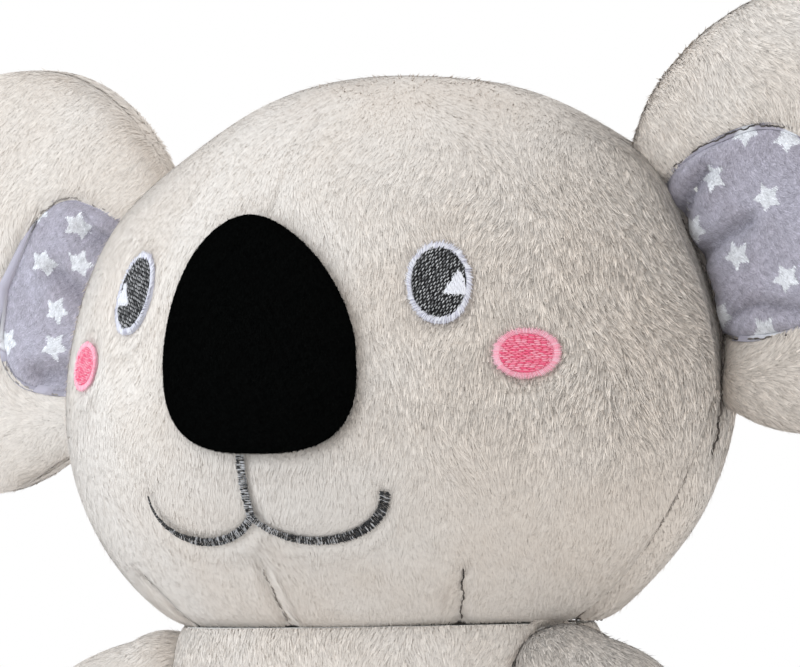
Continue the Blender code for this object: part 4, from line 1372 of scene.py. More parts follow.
def seam_stitches(
    name: str, line: Array, body: str, stitch: Mesh, seed: int, heavy: bool = False,
    finish: ThreadFinish = DARK_SEAM_SHADE,
) -> None:
    """A row of sewing stitches at the bottom of a seam, dark as painted shade of its groove.

    Args:
        name: The piece's name.
        line: The seam's points.
        body: The body that the seam rides on.
        stitch: The yarn's template.
        seed: Varies the stitches.
        heavy: Whether the thread is the thicker one.
        finish: The thread's colour, its painted shade.
    """
    rng = np.random.default_rng(seed)
    places, ways = spaced(line, SEWING.pitch)
    places = (places[1:] + places[:-1]) / 2
    ways = unit(ways[1:] + ways[:-1])
    count = len(places)
    yarn = np.full(count, SEWING.heavy_yarn if heavy else SEWING.yarn)
    sizes = np.stack([yarn, yarn, rng.uniform(SEWING.shortest, SEWING.longest, count)], axis=1)
    sideways = unit(np.cross(ways, rng.normal(size=(count, 3))))
    places = places + sideways * rng.uniform(0, SEWING.astray, (count, 1))
    roots = Roots(places, unit(ways + 0.06 * sideways), sideways, sizes, rng.random(count))
    dress(plant(name, roots, stitch, finish), body, Slot.PLUSH)


@dataclass
class Head:
    """The head's panels, their seams and the nose."""

    tuft: Mesh
    stitch: Mesh
    columns: int = 110
    rows: int = 84
    split_heights: tuple[float, ...] = (-72 * MM, -48 * MM, -22 * MM, -6 * MM, 8 * MM, 70 * MM, 86 * MM)
    split_turns: tuple[float, ...] = (-10.5, -8.2, -4.9, 0.5, 10.0, 11.0, 5.0)
    swells: tuple[tuple[float, ...], ...] = (
        (85, 4, 63, 20, 6.0), (-62, -10, 66, 32, -3.2), (60, -5, 70, 26, -1.4)
    )
    ears: Sequence["Ear"] = ()
    cheek: Oval = field(default_factory=lambda: Cheek(Side.LEFT).oval())

    def on_face(self, line: Sequence[tuple[float, float]]) -> Array:
        """A line on the face from (x, z) in millimetres."""
        flat = np.array(line) * MM
        steps = np.linspace(0, len(flat) - 1, 12 * (len(flat) - 1) + 1)
        x, z = (np.interp(steps, range(len(flat)), flat[:, axis]) for axis in range(2))
        return HEAD.face(x, z)

    def darts(self) -> dict[str, Array]:
        """The short seams of the chin and the long one up the forehead."""
        return {
            "chin_middle": self.on_face([(-3.2, -55), (-3.7, -62.5), (-4.6, -71.5)]),
            "chin_left": self.on_face([(53.6, -57), (49.5, -65.5), (45.4, -71.6)]),
            "chin_right": self.on_face([(-58.4, -57), (-53.2, -64.6), (-50.4, -70.6)]),
        }

    def split(self, heights: Array) -> Array:
        """The turn at which the face panel ends: behind the cheeks, and a little ahead under the ears."""
        z = HEAD.at(np.zeros_like(heights), heights)[:, 2] - HEAD.centre[2]
        return QUARTER + np.radians(np.interp(z, self.split_heights, self.split_turns))

    def side_seam(self) -> Array:
        """The seam between the face and the back of the head, up one side and down the other."""
        heights = np.linspace(HEAD.lowest, QUARTER, 40)
        right = HEAD.at(-self.split(heights), heights)
        left = HEAD.at(self.split(heights), heights)[::-1]
        return np.concatenate([right, left[1:]])

    def neck_seam(self) -> Array:
        """The ring where the head meets the body."""
        turns = np.linspace(-math.pi, math.pi, 61)
        return HEAD.at(turns, np.full(61, HEAD.lowest))

    def from_middle(self, points: Array) -> tuple[Array, Array]:
        """A point's distance aside and up from the head's middle."""
        local = points - HEAD.centre
        return local[:, 0], local[:, 2]

    def eye_away(self, x: Array, z: Array) -> Array:
        """How far a place lies outside the eye on its side."""
        left, right = (Eye(side).oval().away(x * side.value, z) for side in (Side.LEFT, Side.RIGHT))
        return np.where(x > 0, left, right)

    def room(self, points: Array) -> Array:
        """How far a point of the face is from embroidery and nose."""
        x, z = self.from_middle(points)
        away = np.minimum(self.eye_away(x, z), self.cheek.away(np.abs(x), z))
        away = np.minimum(away, NOSE.away(x, z) + 0.4 * MM)
        for line in Mouth().lines():
            away = np.minimum(away, distance_to(points, HEAD.face(line[:, 0], line[:, 1])) - 1.1 * MM)
        return away

    def press(self, points: Array) -> Array:
        """How far the dense stitching draws the face in."""
        x, z = self.from_middle(points)
        patches = np.minimum(self.eye_away(x, z), self.cheek.away(np.abs(x), z))
        drawn = 1.0 * MM * bell(np.maximum(patches, 0), 2.5 * MM)
        for line in Mouth().lines():
            away = distance_to(points, HEAD.face(line[:, 0], line[:, 1]))
            drawn = drawn + 0.9 * MM * bell(away, 2.6 * MM)
        edge = np.abs(NOSE.away(x, z))
        return drawn + 0.9 * MM * bell(edge, 3 * MM) + self.tucked(points)

    def tucked(self, points: Array) -> Array:
        """How far the head's cloth gives way to the roots of the ears, and to its own unevenness."""
        inward = LOFT * np.max([ear.covers(points) for ear in self.ears], axis=0)
        local = points - HEAD.centre
        for x, y, z, reach, height in self.swells:
            away = np.linalg.norm(local - np.array([x, y, z]) * MM, axis=1)
            inward = inward - height * MM * bell(away, reach * MM)
        return inward

    def depth(self, points: Array) -> Array:
        """How deep the face's pile looks: shallow on the toy's right, which the light washes out, and toward crown and
        chin, deep toward its left ear, where the light rakes. Partly real, partly painted light: it sets how high and
        loose the tufts lie, and how strongly the painted root shade and the mottle's contrast show.
        """
        local = points - HEAD.centre
        across = np.clip((local[:, 0] + 70 * MM) / (165 * MM), 0, 1)
        ruffle_and_shade = 0.08 + 0.92 * across**1.6
        high = np.clip((local[:, 2] - 55 * MM) / (30 * MM), 0, 1)
        low = np.clip((-local[:, 2] - 12 * MM) / (30 * MM), 0, 1)
        return ruffle_and_shade * (1 - 0.7 * high) * (1 - 0.75 * low)

    def tone(self, points: Array) -> Array:
        """Painted shade on the face's pile: darker beside the left ear, round the mouth under the nose and in the
        creases at both ear roots.
        """
        x, z = self.from_middle(points)
        ahead = points[:, 1] < HEAD.centre[1]
        # Painted shade round the mouth, under the nose, on the front only.
        darker = 0.17 * ahead * np.exp(-(((x - 8 * MM) / (46 * MM)) ** 2) - ((z + 34 * MM) / (27 * MM)) ** 2)
        over = np.clip((z + 8 * MM) / (22 * MM), 0, 1)
        for ear in self.ears:
            # Painted shade in the crease along each ear's root.
            darker = np.maximum(darker, 0.42 * np.exp(-((distance_to(points, ear.crease()) / (2.2 * MM)) ** 2)))
            # Painted shade spreading beside the toy's left ear, above the jaw.
            if ear.side is Side.LEFT:
                away = distance_to(points, ear.crease())
                darker = np.maximum(darker, 0.38 * over * bell(away, 23 * MM))
        return darker

    def comb(self, points: Array, normals: Array) -> Array:
        """The pile's lie: down the face, turning toward the seams at the ears."""
        flow = downward(points, normals)
        local = points - HEAD.centre
        beside = np.exp(-(((np.abs(local[:, 0]) - HEAD.half_width) / (17 * MM)) ** 2))
        level = np.exp(-(((local[:, 2] - 28 * MM) / (34 * MM)) ** 2))
        aside = along_cloth(np.sign(local[:, :1]) * np.array([[0.45, 0.9, -0.2]]), normals)
        return unit(flow + aside * (1.6 * beside * level)[:, None])

    def build(self) -> None:
        """Makes and dresses the head's pieces."""

        def half(first: float) -> Lay:
            """Lays a grid on the half of the head that starts at a turn."""
            def place(u: Array, v: Array) -> Array:
                """Places by u round the head and v up it."""
                heights = HEAD.lowest + v * (QUARTER - HEAD.lowest)
                split = self.split(heights)
                turns = -split + 2 * split * u if first < 0 else split + 2 * (math.pi - split) * u
                return HEAD.at(turns, heights)

            return place

        sewn = self.side_seam()
        low = sewn[:, 2] < HEAD.centre[2] - 8 * MM
        lower = [sewn[: int(np.argmin(low))], sewn[len(sewn) - int(np.argmin(low[::-1])) :]]
        edges = [seam_of("side", line) for line in lower]
        edges += [seam_of("crown", sewn[~low]), seam_of("neck", self.neck_seam())]
        edges += [seam_of("ear_root", ear.crease()) for ear in self.ears]
        darts = self.darts()
        face_seams = [seam_of("dart", line) for line in darts.values()]
        face_seams.append(seam_of("brow", self.on_face([(-4.2, 44), (-2, 56), (-1, 68), (0, 76)])))
        front = Panel(
            "head_plush_front", half(-QUARTER), HEAD.centre, self.columns, self.rows,
            FACE_PILE, PLUSH, edges + face_seams, self.press, self.room, self.comb,
            tone=self.tone, depth=self.depth,
        )
        dress(front.build(self.tuft), "head", Slot.PLUSH, "head_front", fill=0.9)
        back = Panel(
            "head_plush_back", half(QUARTER), HEAD.centre, self.columns, self.rows,
            HIDDEN_PILE, PLUSH, edges, self.tucked, comb=self.comb,
            tone=self.tone, depth=self.depth,
        )
        dress(back.build(self.tuft), "head", Slot.PLUSH, "head_back", fill=0.9)
        self.build_nose()
        inward = 0.9 * MM
        for index, (name, line) in enumerate(darts.items()):
            local = line - HEAD.centre
            sunk = line - HEAD.face_normal(local[:, 0], local[:, 2]) * inward
            # The dart on the toy's left, the shaded side, gets the darker painted shade.
            thread = DARK_SEAM_SHADE if name == "chin_left" else PALE_SEAM_SHADE
            seam_stitches(f"seam_{name}", sunk, "head", self.stitch, 80 + index, finish=thread)
        for line, label in zip(lower, ("right", "left")):
            sunk = line + unit(HEAD.centre - line) * 1.3 * MM
            seam_stitches(f"seam_side_{label}", sunk, "head", self.stitch, 90, finish=PALE_SEAM_SHADE)
        # A heavy dark thread in each ear root's crease: painted shade of the crease.
        for ear in self.ears:
            root = ear.crease()
            sunk = root + unit(HEAD.centre - root) * 1.4 * MM
            seam_stitches(f"seam_root_{ear.side.label}", sunk, "head", self.stitch, 93, heavy=True)
        # A heavy dark thread round the neck: painted shade of its crease.
        neck = self.neck_seam()
        inner = neck + unit((HEAD.centre - neck) * np.array([1, 1, 0])) * 1.9 * MM + np.array([0, 0, 0.3 * MM])
        seam_stitches("seam_neck", inner, "head", self.stitch, 91, heavy=True)

    def build_nose(self) -> None:
        """The nose's velvet over its pad."""
        nose = Panel(
            "nose_velvet", lambda u, v: NOSE.dome(u * TURN, np.sin(v * QUARTER)), HEAD.centre, 96, 26,
            NOSE_PILE, BLACK_PILE, depth=1.0, lumps=0.15 * MM,
        )
        dress(nose.build(self.tuft), "head", Slot.BLACK, "nose_cover", fill=0.8)


@dataclass
class Ear:
    """One padded ear: plush rim and back, star lining let into the front."""

    side: Side
    tuft: Mesh
    stitch: Mesh
    radius: float = 67.0 * MM
    out_by: float = 141.5 * MM
    back_by: float = 18.5 * MM
    up_by: float = 40.0 * MM
    stagger: float = 7.0 * MM
    tilt: float = math.radians(24)
    sweep: float = math.radians(8)
    half_thickness: float = 14.0 * MM
    hinge_offset: float = 15.0 * MM
    root_gap: float = 0.3 * MM
    crease_ahead: float = 5.5 * MM
    rim_power: float = 2.6
    lining_inward: float = 20.0 * MM
    lining_rises: tuple[float, float] = (1.8 * MM, 5.0 * MM)
    lining_lift: float = 0.12
    lining_half_height: float = 31.0 * MM
    lining_outers: tuple[float, float] = (28.0 * MM, 19.0 * MM)
    lining_inner: float = 40.0 * MM
    lining_power: float = 2.2
    tuck: float = 0.17
    lining_sink: float = 1.2 * MM
    star_radius: float = 4.6 * MM
    wrap_from: float = 0.92

    def __post_init__(self) -> None:
        """Sets up the ear's own axes and how far its root may reach."""
        up = self.up_by + self.side.value * self.stagger
        self.centre = np.array([self.out_by, self.back_by, up])
        outward = np.array([math.cos(self.sweep), math.sin(self.sweep), 0])
        rise = np.array([0.0, 0.0, 1.0])
        self.front = np.array([math.sin(self.sweep), -math.cos(self.sweep), 0])
        self.out = outward * math.cos(self.tilt) + rise * math.sin(self.tilt)
        self.up = rise * math.cos(self.tilt) - outward * math.sin(self.tilt)
        self.hinge_r = self.hinge_offset - self.head_distance(0.0, 0.0, 0.0)
        heights = np.linspace(-self.radius, self.radius, 45)
        swings = np.linspace(-math.pi / 4, math.pi / 4, 5)
        rooms = [min(self.head_distance(self.hinge_r, s, w) for w in swings) - self.root_gap for s in heights]
        self.room_table = (heights, np.array(rooms))
        angles = np.linspace(0, TURN, 361)
        self.reach_table = (angles, self.reaches(angles))

    def head_distance(self, r: float, s: float, swing: float) -> float:
        """How far the head's cloth is from (r, s), inward and swung toward the front."""
        way = -self.out * math.cos(swing) + self.front * math.sin(swing)
        start = self.centre + self.out * r + self.up * s
        steps = np.linspace(0, self.out_by, 1500)
        inside = np.nonzero(CLOTH_HEAD.outside(start + way * steps[:, None]) < 0)[0]
        return float(steps[inside[0]]) if len(inside) else self.out_by

    def room(self, s: Array) -> Array:
        """The radius about the hinge that the root may fill at a height."""
        return np.interp(s, *self.room_table)

    def reaches(self, angles: Array) -> Array:
        """How far the ear reaches from its middle in each direction."""
        tucked = np.zeros_like(angles)
        if self.side is Side.RIGHT:
            low = math.radians(228)
            tucked = self.tuck * np.exp(-(((angles - low) / math.radians(24)) ** 2))
        radius = self.radius * (1 - tucked)
        near, far = np.zeros_like(angles), radius.copy()
        inward = np.cos(angles) <= 0
        for _ in range(16):
            middle = (near + far) / 2
            r, s = middle * np.cos(angles), middle * np.sin(angles)
            blocked = inward & (r < self.hinge_r) & (self.hinge_r - r > self.room(s))
            far, near = np.where(blocked, middle, far), np.where(blocked, near, middle)
        return np.where(inward, near, radius)

    def reach(self, angles: Array) -> Array:
        """The reach read from the table."""
        return np.interp(angles % (TURN), *self.reach_table)

    def thickness(self, share: Array, r: Array, s: Array) -> Array:
        """The padded half thickness, rounded about the hinge at the root."""
        edge = CLOTH + GAP / 2
        swell = np.sqrt(np.maximum(1 - share**self.rim_power, 0))
        thick = edge + (self.half_thickness - edge) * swell
        room = np.sqrt(np.maximum(self.room(s) ** 2 - (self.hinge_r - r) ** 2, edge**2))
        return np.where(r < self.hinge_r, np.minimum(thick, room), thick)

    def lining_share(self, angles: Array) -> Array:
        """The share of each spoke that the lining covers."""
        reach = self.reach(angles)
        near, far = np.zeros_like(angles), reach.copy()
        for _ in range(18):
            middle = (near + far) / 2
            beyond = self.lining_level(middle * np.cos(angles), middle * np.sin(angles)) > 1
            far, near = np.where(beyond, middle, far), np.where(beyond, near, middle)
        return near / reach

    def lining_level(self, r: Array, s: Array) -> Array:
        """Below 1 inside the lining's outline."""
        out = r + self.lining_inward
        up = s - self.lining_rise + self.lining_lift * np.minimum(out, 0)
        outer = self.side.pick(self.lining_outers)
        across = np.abs(out) / np.where(out > 0, outer, self.lining_inner)
        return across**self.lining_power + np.abs(up / self.lining_half_height) ** self.lining_power

    @property
    def lining_rise(self) -> float:
        """How far the lining's middle lies over the ear's."""
        return self.side.pick(self.lining_rises)

    def world(self, r: Array, s: Array, n: Array) -> Array:
        """Places of the toy from places of the ear."""
        local = self.centre + r[:, None] * self.out + s[:, None] * self.up + n[:, None] * self.front
        return local * self.side.mirror + HEAD.centre

    def flat(self, points: Array) -> tuple[Array, Array]:
        """The reverse of world, without the thickness."""
        local = (points - HEAD.centre) * self.side.mirror - self.centre
        return local @ self.out, local @ self.up

    def across(self, points: Array) -> Array:
        """How far ahead of the ear's middle sheet each point lies."""
        return ((points - HEAD.centre) * self.side.mirror - self.centre) @ self.front

    def covers(self, points: Array) -> Array:
        """1 where the ear's root lies over the head, and 0 a little away from it."""
        r, s = self.flat(points)
        beside = np.maximum(np.abs(self.across(points)) - self.half_thickness + 3 * MM, 0) / (3.5 * MM)
        ends = np.maximum(np.abs(s) - 48 * MM, 0) / (8 * MM)
        same_side = (points[:, 0] * self.side.value > 0) & (r < 0)
        return np.where(same_side, np.exp(-(beside**2) - ends**2), 0.0)

    def crease(self) -> Array:
        """The line on the head along the front of the ear's root."""
        heights = np.linspace(-50, 46, 30) * MM
        way = -self.out
        line = []
        for s in heights:
            start = self.centre + self.up * s + self.front * self.crease_ahead
            steps = np.linspace(0, self.out_by, 1500)
            inside = np.nonzero(HEAD.outside(start + way * steps[:, None]) < 0)[0]
            if len(inside):
                line.append(start + way * steps[inside[0]])
        return np.array(line) * self.side.mirror + HEAD.centre

    def gathers(self) -> list[tuple[list[tuple[float, float]], float, float]]:
        """The lining's folds near its root: their lines in (r, s) millimetres, depths and widths."""
        if self.side is Side.LEFT:
            return [
                ([(-50, 14), (-42, 20), (-36, 23.5), (-30, 26)], 3.0, 2.4),
                ([(-50, 4), (-40, 6), (-32, 6.8), (-24, 7)], 2.6, 2.6),
                ([(-54, -22), (-46, -17.5), (-41, -15), (-33, -15.5), (-25, -20), (-18, -25)], 2.0, 2.2),
            ]
        return [
            ([(-50, 26), (-38, 27.5), (-30, 28), (-24, 28)], 2.8, 3.4),
            ([(-50, 4), (-38, 6.5), (-28, 10), (-18, 12.5)], 2.2, 3.2),
            ([(-50, -13), (-38, -14), (-30, -17), (-25, -20)], 2.8, 3.6),
        ]

    def fold(self, r: Array, s: Array) -> Array:
        """How far the lining dips into its folds and swells between them."""
        flat = np.stack([r, s, np.zeros_like(r)], axis=1)
        dip = np.zeros_like(r)
        for line, depth, width in self.gathers():
            path = np.array([(a, b, 0) for a, b in line]) * MM
            away = distance_to(flat, path)
            dip += 1.25 * depth * MM * bell(away, width * MM)
            dip -= 0.4 * depth * MM * np.exp(-(((away - 2.1 * width * MM) / (1.3 * width * MM)) ** 2))
        edge = np.clip((1 - self.lining_level(r, s)) / 0.35, 0, 1)
        return dip * (0.25 + 0.75 * edge)

    def valleys(self, points: Array) -> Array:
        """Painted shade on the lining's pile: darker in its folds, and a little darker all over on the toy's left ear.
        """
        r, s = self.flat(points)
        flat = np.stack([r, s, np.zeros_like(r)], axis=1)
        darker = np.zeros_like(r)
        for line, _, width in self.gathers():
            path = np.array([(a, b, 0) for a, b in line]) * MM
            darker = np.maximum(darker, np.exp(-((distance_to(flat, path) / (0.8 * width * MM)) ** 2)))
        # The left ear's lining gets a further even painted shade on top of its folds' shade.
        return 0.22 * darker + (0.11 if self.side is Side.LEFT else 0.0)

    def lining_place(self, u: Array, v: Array) -> Array:
        """Lays a grid on the lining: round it with u, outward with v."""
        angles = u * TURN
        share = self.lining_share(angles) * np.sin(v * QUARTER)
        reach = self.reach(angles) * share
        r, s = reach * np.cos(angles), reach * np.sin(angles)
        n = self.thickness(share, r, s) - self.lining_sink * v**4 - self.fold(r, s)
        return self.world(r, s, np.maximum(n, GAP))

    def rim_place(self, u: Array, v: Array) -> Array:
        """Lays a grid on the rim: round it with u, outward from the lining with v."""
        first, last = self.rim_span()
        angles = first + (last - first) * u
        inner = self.lining_share(angles)
        spread, wrap = self.wrapped(v)
        share = inner + (1 - inner) * spread
        reach = self.reach(angles) * share
        r, s = reach * np.cos(angles), reach * np.sin(angles)
        return self.world(r, s, self.thickness(share, r, s) * (1 - wrap) + GAP / 2 * wrap)

    def wrapped(self, v: Array) -> tuple[Array, Array]:
        """How far out a grid line lies, and how far it has turned round the ear's edge."""
        spread = np.sin(np.minimum(v / self.wrap_from, 1) * QUARTER)
        return spread, np.maximum(v - self.wrap_from, 0) / (1 - self.wrap_from)

    def rim_span(self) -> tuple[float, float]:
        """The angles between which the rim shows outside the lining."""
        angles = np.linspace(0, math.pi, 721)
        upper = angles[self.lining_share(angles) < 0.975][-1]
        lower = angles[self.lining_share(-angles) < 0.975][-1]
        return -float(lower), float(upper)

    def back_place(self, u: Array, v: Array) -> Array:
        """Lays a grid on the ear's back."""
        angles = u * TURN
        share, wrap = self.wrapped(v)
        reach = self.reach(angles) * share
        r, s = reach * np.cos(angles), reach * np.sin(angles)
        return self.world(r, s, -self.thickness(share, r, s) * (1 - wrap) - GAP / 2 * wrap)

    def stuffing_place(self, u: Array, v: Array) -> Array:
        """Lays a closed grid on the wadding: from the front's middle over the edge to the back's."""
        angles, ahead = u * TURN, v < 0.5
        share = np.sin(np.minimum(2 * v, 2 - 2 * v) * QUARTER)
        full = self.reach(angles)
        reach = (full - STUFFING_INSET) * share
        r, s = reach * np.cos(angles), reach * np.sin(angles)
        depth = self.thickness(reach / full, r, s) - STUFFING_INSET
        depth = np.where(ahead, depth - np.maximum(self.fold(r, s), 0), depth)
        return self.world(r, s, np.where(ahead, 1, -1) * np.maximum(depth, GAP))

    def outline(self, lining: bool) -> Array:
        """The seam round the lining, or round the ear's edge."""
        if lining:
            first, last = self.rim_span()
            angles = np.linspace(first, last, 90)
            share = self.lining_share(angles)
        else:
            angles = np.linspace(0, TURN, 121)
            share = np.ones_like(angles)
        reach = self.reach(angles) * share
        r, s = reach * np.cos(angles), reach * np.sin(angles)
        n = self.thickness(share, r, s) if lining else np.zeros_like(r)
        return self.world(r, s, n)

    def star_places(self) -> Array:
        """The middles of the printed stars, as (r, s)."""
        if self.side is Side.LEFT:
            stars = [
                (-28.2, 23.1), (-15.1, 10.2), (-31.2, -0.8), (-19.8, -13.7), (-2.5, 23.3), (-33, -24.3),
                (-45.2, -13.3), (-41.2, 12.8), (-14, 31), (-3, -4), (-6, -22),
            ]
        else:
            stars = [
                (-21.3, 28.6), (-13.7, 13.2), (-27, 18.2), (-23.6, 1.2), (-9.5, -15), (-27.1, -9.4),
                (-39, 27), (-42, 8), (-44, -10), (-5, 27),
            ]
        return np.array(stars) * MM

    def stars(self, points: Array) -> Array:
        """1 where a place lies in a printed star."""
        r, s = self.flat(points)
        inside = np.zeros(len(points))
        for index, (star_r, star_s) in enumerate(self.star_places()):
            x, y = r - star_r, s - star_s
            angle = np.arctan2(y, x) - 0.3 - 1.3 * index
            fold = np.abs((angle + math.pi / 5) % (TURN / 5) - math.pi / 5)
            away = np.hypot(x, y)
            tip, notch = self.star_radius, 0.54 * self.star_radius
            notch_x, notch_y = notch * math.cos(math.pi / 5), notch * math.sin(math.pi / 5)
            level = (away * np.cos(fold) - tip) * notch_y - away * np.sin(fold) * (notch_x - tip)
            inside = np.where(level < 0, 1.0, inside)
        return inside

    def comb(self, points: Array, normals: Array) -> Array:
        """The pile's lie on rim and back: outward from the root and down."""
        way = self.out * self.side.mirror * 0.7 + np.array([0, 0, -0.8])
        flow = along_cloth(np.broadcast_to(way, points.shape), normals)
        r, s = self.flat(points)
        level = self.lining_level(r, s)
        near = np.exp(-(((level - 1) / 0.9) ** 2))
        middle = self.world(
            np.array([-self.lining_inward]), np.array([self.lining_rise]), np.array([self.half_thickness])
        )
        inward = along_cloth(middle - points, normals)
        return unit(flow + inward * (1.3 * near)[:, None])

    def lining_comb(self, points: Array, normals: Array) -> Array:
        """The lining's pile lies down and a little outward."""
        way = self.out * self.side.mirror * 0.5 + np.array([0, 0, -0.8])
        return along_cloth(np.broadcast_to(way, points.shape), normals)

    def build(self) -> None:
        """Makes and dresses the ear's pieces."""
        label, body = self.side.label, f"ear_{self.side.label}"
        behind = self.world(np.zeros(1), np.zeros(1), np.array([-2 * self.half_thickness]))[0]
        ahead = self.world(np.zeros(1), np.zeros(1), np.array([2 * self.half_thickness]))[0]
        lining_seam = seam_of("lining", self.outline(True))
        edge_seam = seam_of("ear_edge", self.outline(False))
        # The left ear lies on the shaded side: its pile gets more depth, so more painted root shade and contrast.
        seed, ruffle_and_shade = (10, 0.6) if self.side is Side.LEFT else (20, 0.28)
        rim = Panel(
            f"ear_plush_rim_{label}", self.rim_place, behind, 150, 26, replace(RIM_PILE, seed=seed), PLUSH,
            [lining_seam, edge_seam], comb=self.comb, depth=ruffle_and_shade, lumps=0.9 * MM,
        )
        dress(rim.build(self.tuft), body, Slot.PLUSH, f"ear_rim_{label}", fill=0.7)
        minky = replace(LINING_PILE, seed=seed + 1)
        lining = Panel(
            f"ear_star_lining_{label}", self.lining_place, behind, 130, 34, minky, STAR_PLUSH,
            [lining_seam], comb=self.lining_comb, printed=self.stars, tone=self.valleys, depth=0.6,
        )
        dress(lining.build(self.tuft), body, Slot.STARS, f"ear_lining_{label}", fill=0.6)
        back = Panel(
            f"ear_plush_back_{label}", self.back_place, ahead, 130, 30, replace(HIDDEN_PILE, seed=seed + 2), PLUSH,
            [edge_seam], comb=self.comb, depth=ruffle_and_shade, lumps=0.9 * MM,
        )
        dress(back.build(self.tuft), body, Slot.PLUSH, f"ear_back_{label}", fill=0.7)
        inside = self.world(np.zeros(1), np.zeros(1), np.zeros(1))[0]
        stuff(f"ear_wadding_{label}", self.stuffing_place, inside, body, f"ear_filling_{label}")
        sunk = self.outline(True) - self.front * self.side.mirror * 1.6 * MM
        # The toy's left ear lies on the shaded side: its lining seam gets the darker painted shade.
        thread = DARK_SEAM_SHADE if self.side is Side.LEFT else PALE_SEAM_SHADE
        seam_stitches(f"seam_lining_{label}", sunk, body, self.stitch, seed + 3, finish=thread)


@dataclass(frozen=True)
class BodyForm:
    """The body: a pear on an oval seat."""

    height: float = 118.0 * MM
    neck_half_width: float = 65.5 * MM
    hip_half_width: float = 79.0 * MM
    hip_height: float = 38.0 * MM
    seat_half_width: float = 58.0 * MM
    depth_share: float = 0.79

    def width(self, z: Array) -> Array:
        """The half width at a height."""
        share = np.clip((self.height - z) / (self.height - self.hip_height), 0, 1)
        upper = self.neck_half_width + (self.hip_half_width - self.neck_half_width) * np.sin(share * QUARTER)
        low = np.clip((self.hip_height - z) / self.hip_height, 0, 1)
        lower = self.hip_half_width - (self.hip_half_width - self.seat_half_width) * (1 - np.sqrt(1 - low**2))
        return np.where(z > self.hip_height, upper, lower)

    def at(self, turn: Array, z: Array) -> Array:
        """Places on the body by their turn from the front and their height."""
        width = self.width(z)
        y = NECK[1] - width * self.depth_share * np.cos(turn)
        return np.stack([width * np.sin(turn), y, z], axis=1)


BODY = BodyForm()


@dataclass
class Limb:
    """A stuffed limb on a ball root: where it starts, which way it points and its profile."""

    root: Array
    axes: Array
    profile: Array
    rise: float = 0.0
    length: float = 1.0

    def at(self, turn: Array, share: Array) -> Array:
        """Places round the limb and along its profile."""
        steps = np.linspace(0, 1, len(self.profile))
        along = np.interp(share, steps, self.profile[:, 0])
        radius = np.interp(share, steps, self.profile[:, 1])
        lifted = self.rise * np.sin(np.clip(along / self.length, 0, 1) * QUARTER)
        local = np.stack([along, radius * np.cos(turn), radius * np.sin(turn) + lifted], axis=1)
        return local @ self.axes + self.root


def limb_axes(side: Side, way: Sequence[float]) -> Array:
    """The three axes of a limb that points along a way, mirrored for the right side."""
    out = Vector(way).normalized()
    across = Vector((0, 0, 1)).cross(out).normalized()
    axes = np.array([out, across, out.cross(across)])
    return axes * side.mirror


def rounded_profile(profile: list[tuple[float, float]], steps: int = 80) -> Array:
    """A profile with its points evenly spaced along it."""
    line = np.array([(x, r, 0.0) for x, r in profile])
    lengths = np.concatenate([[0], np.cumsum(np.linalg.norm(np.diff(line, axis=0), axis=1))])
    at = np.linspace(0, lengths[-1], steps)
    return np.stack([np.interp(at, lengths, line[:, axis]) for axis in range(2)], axis=1)


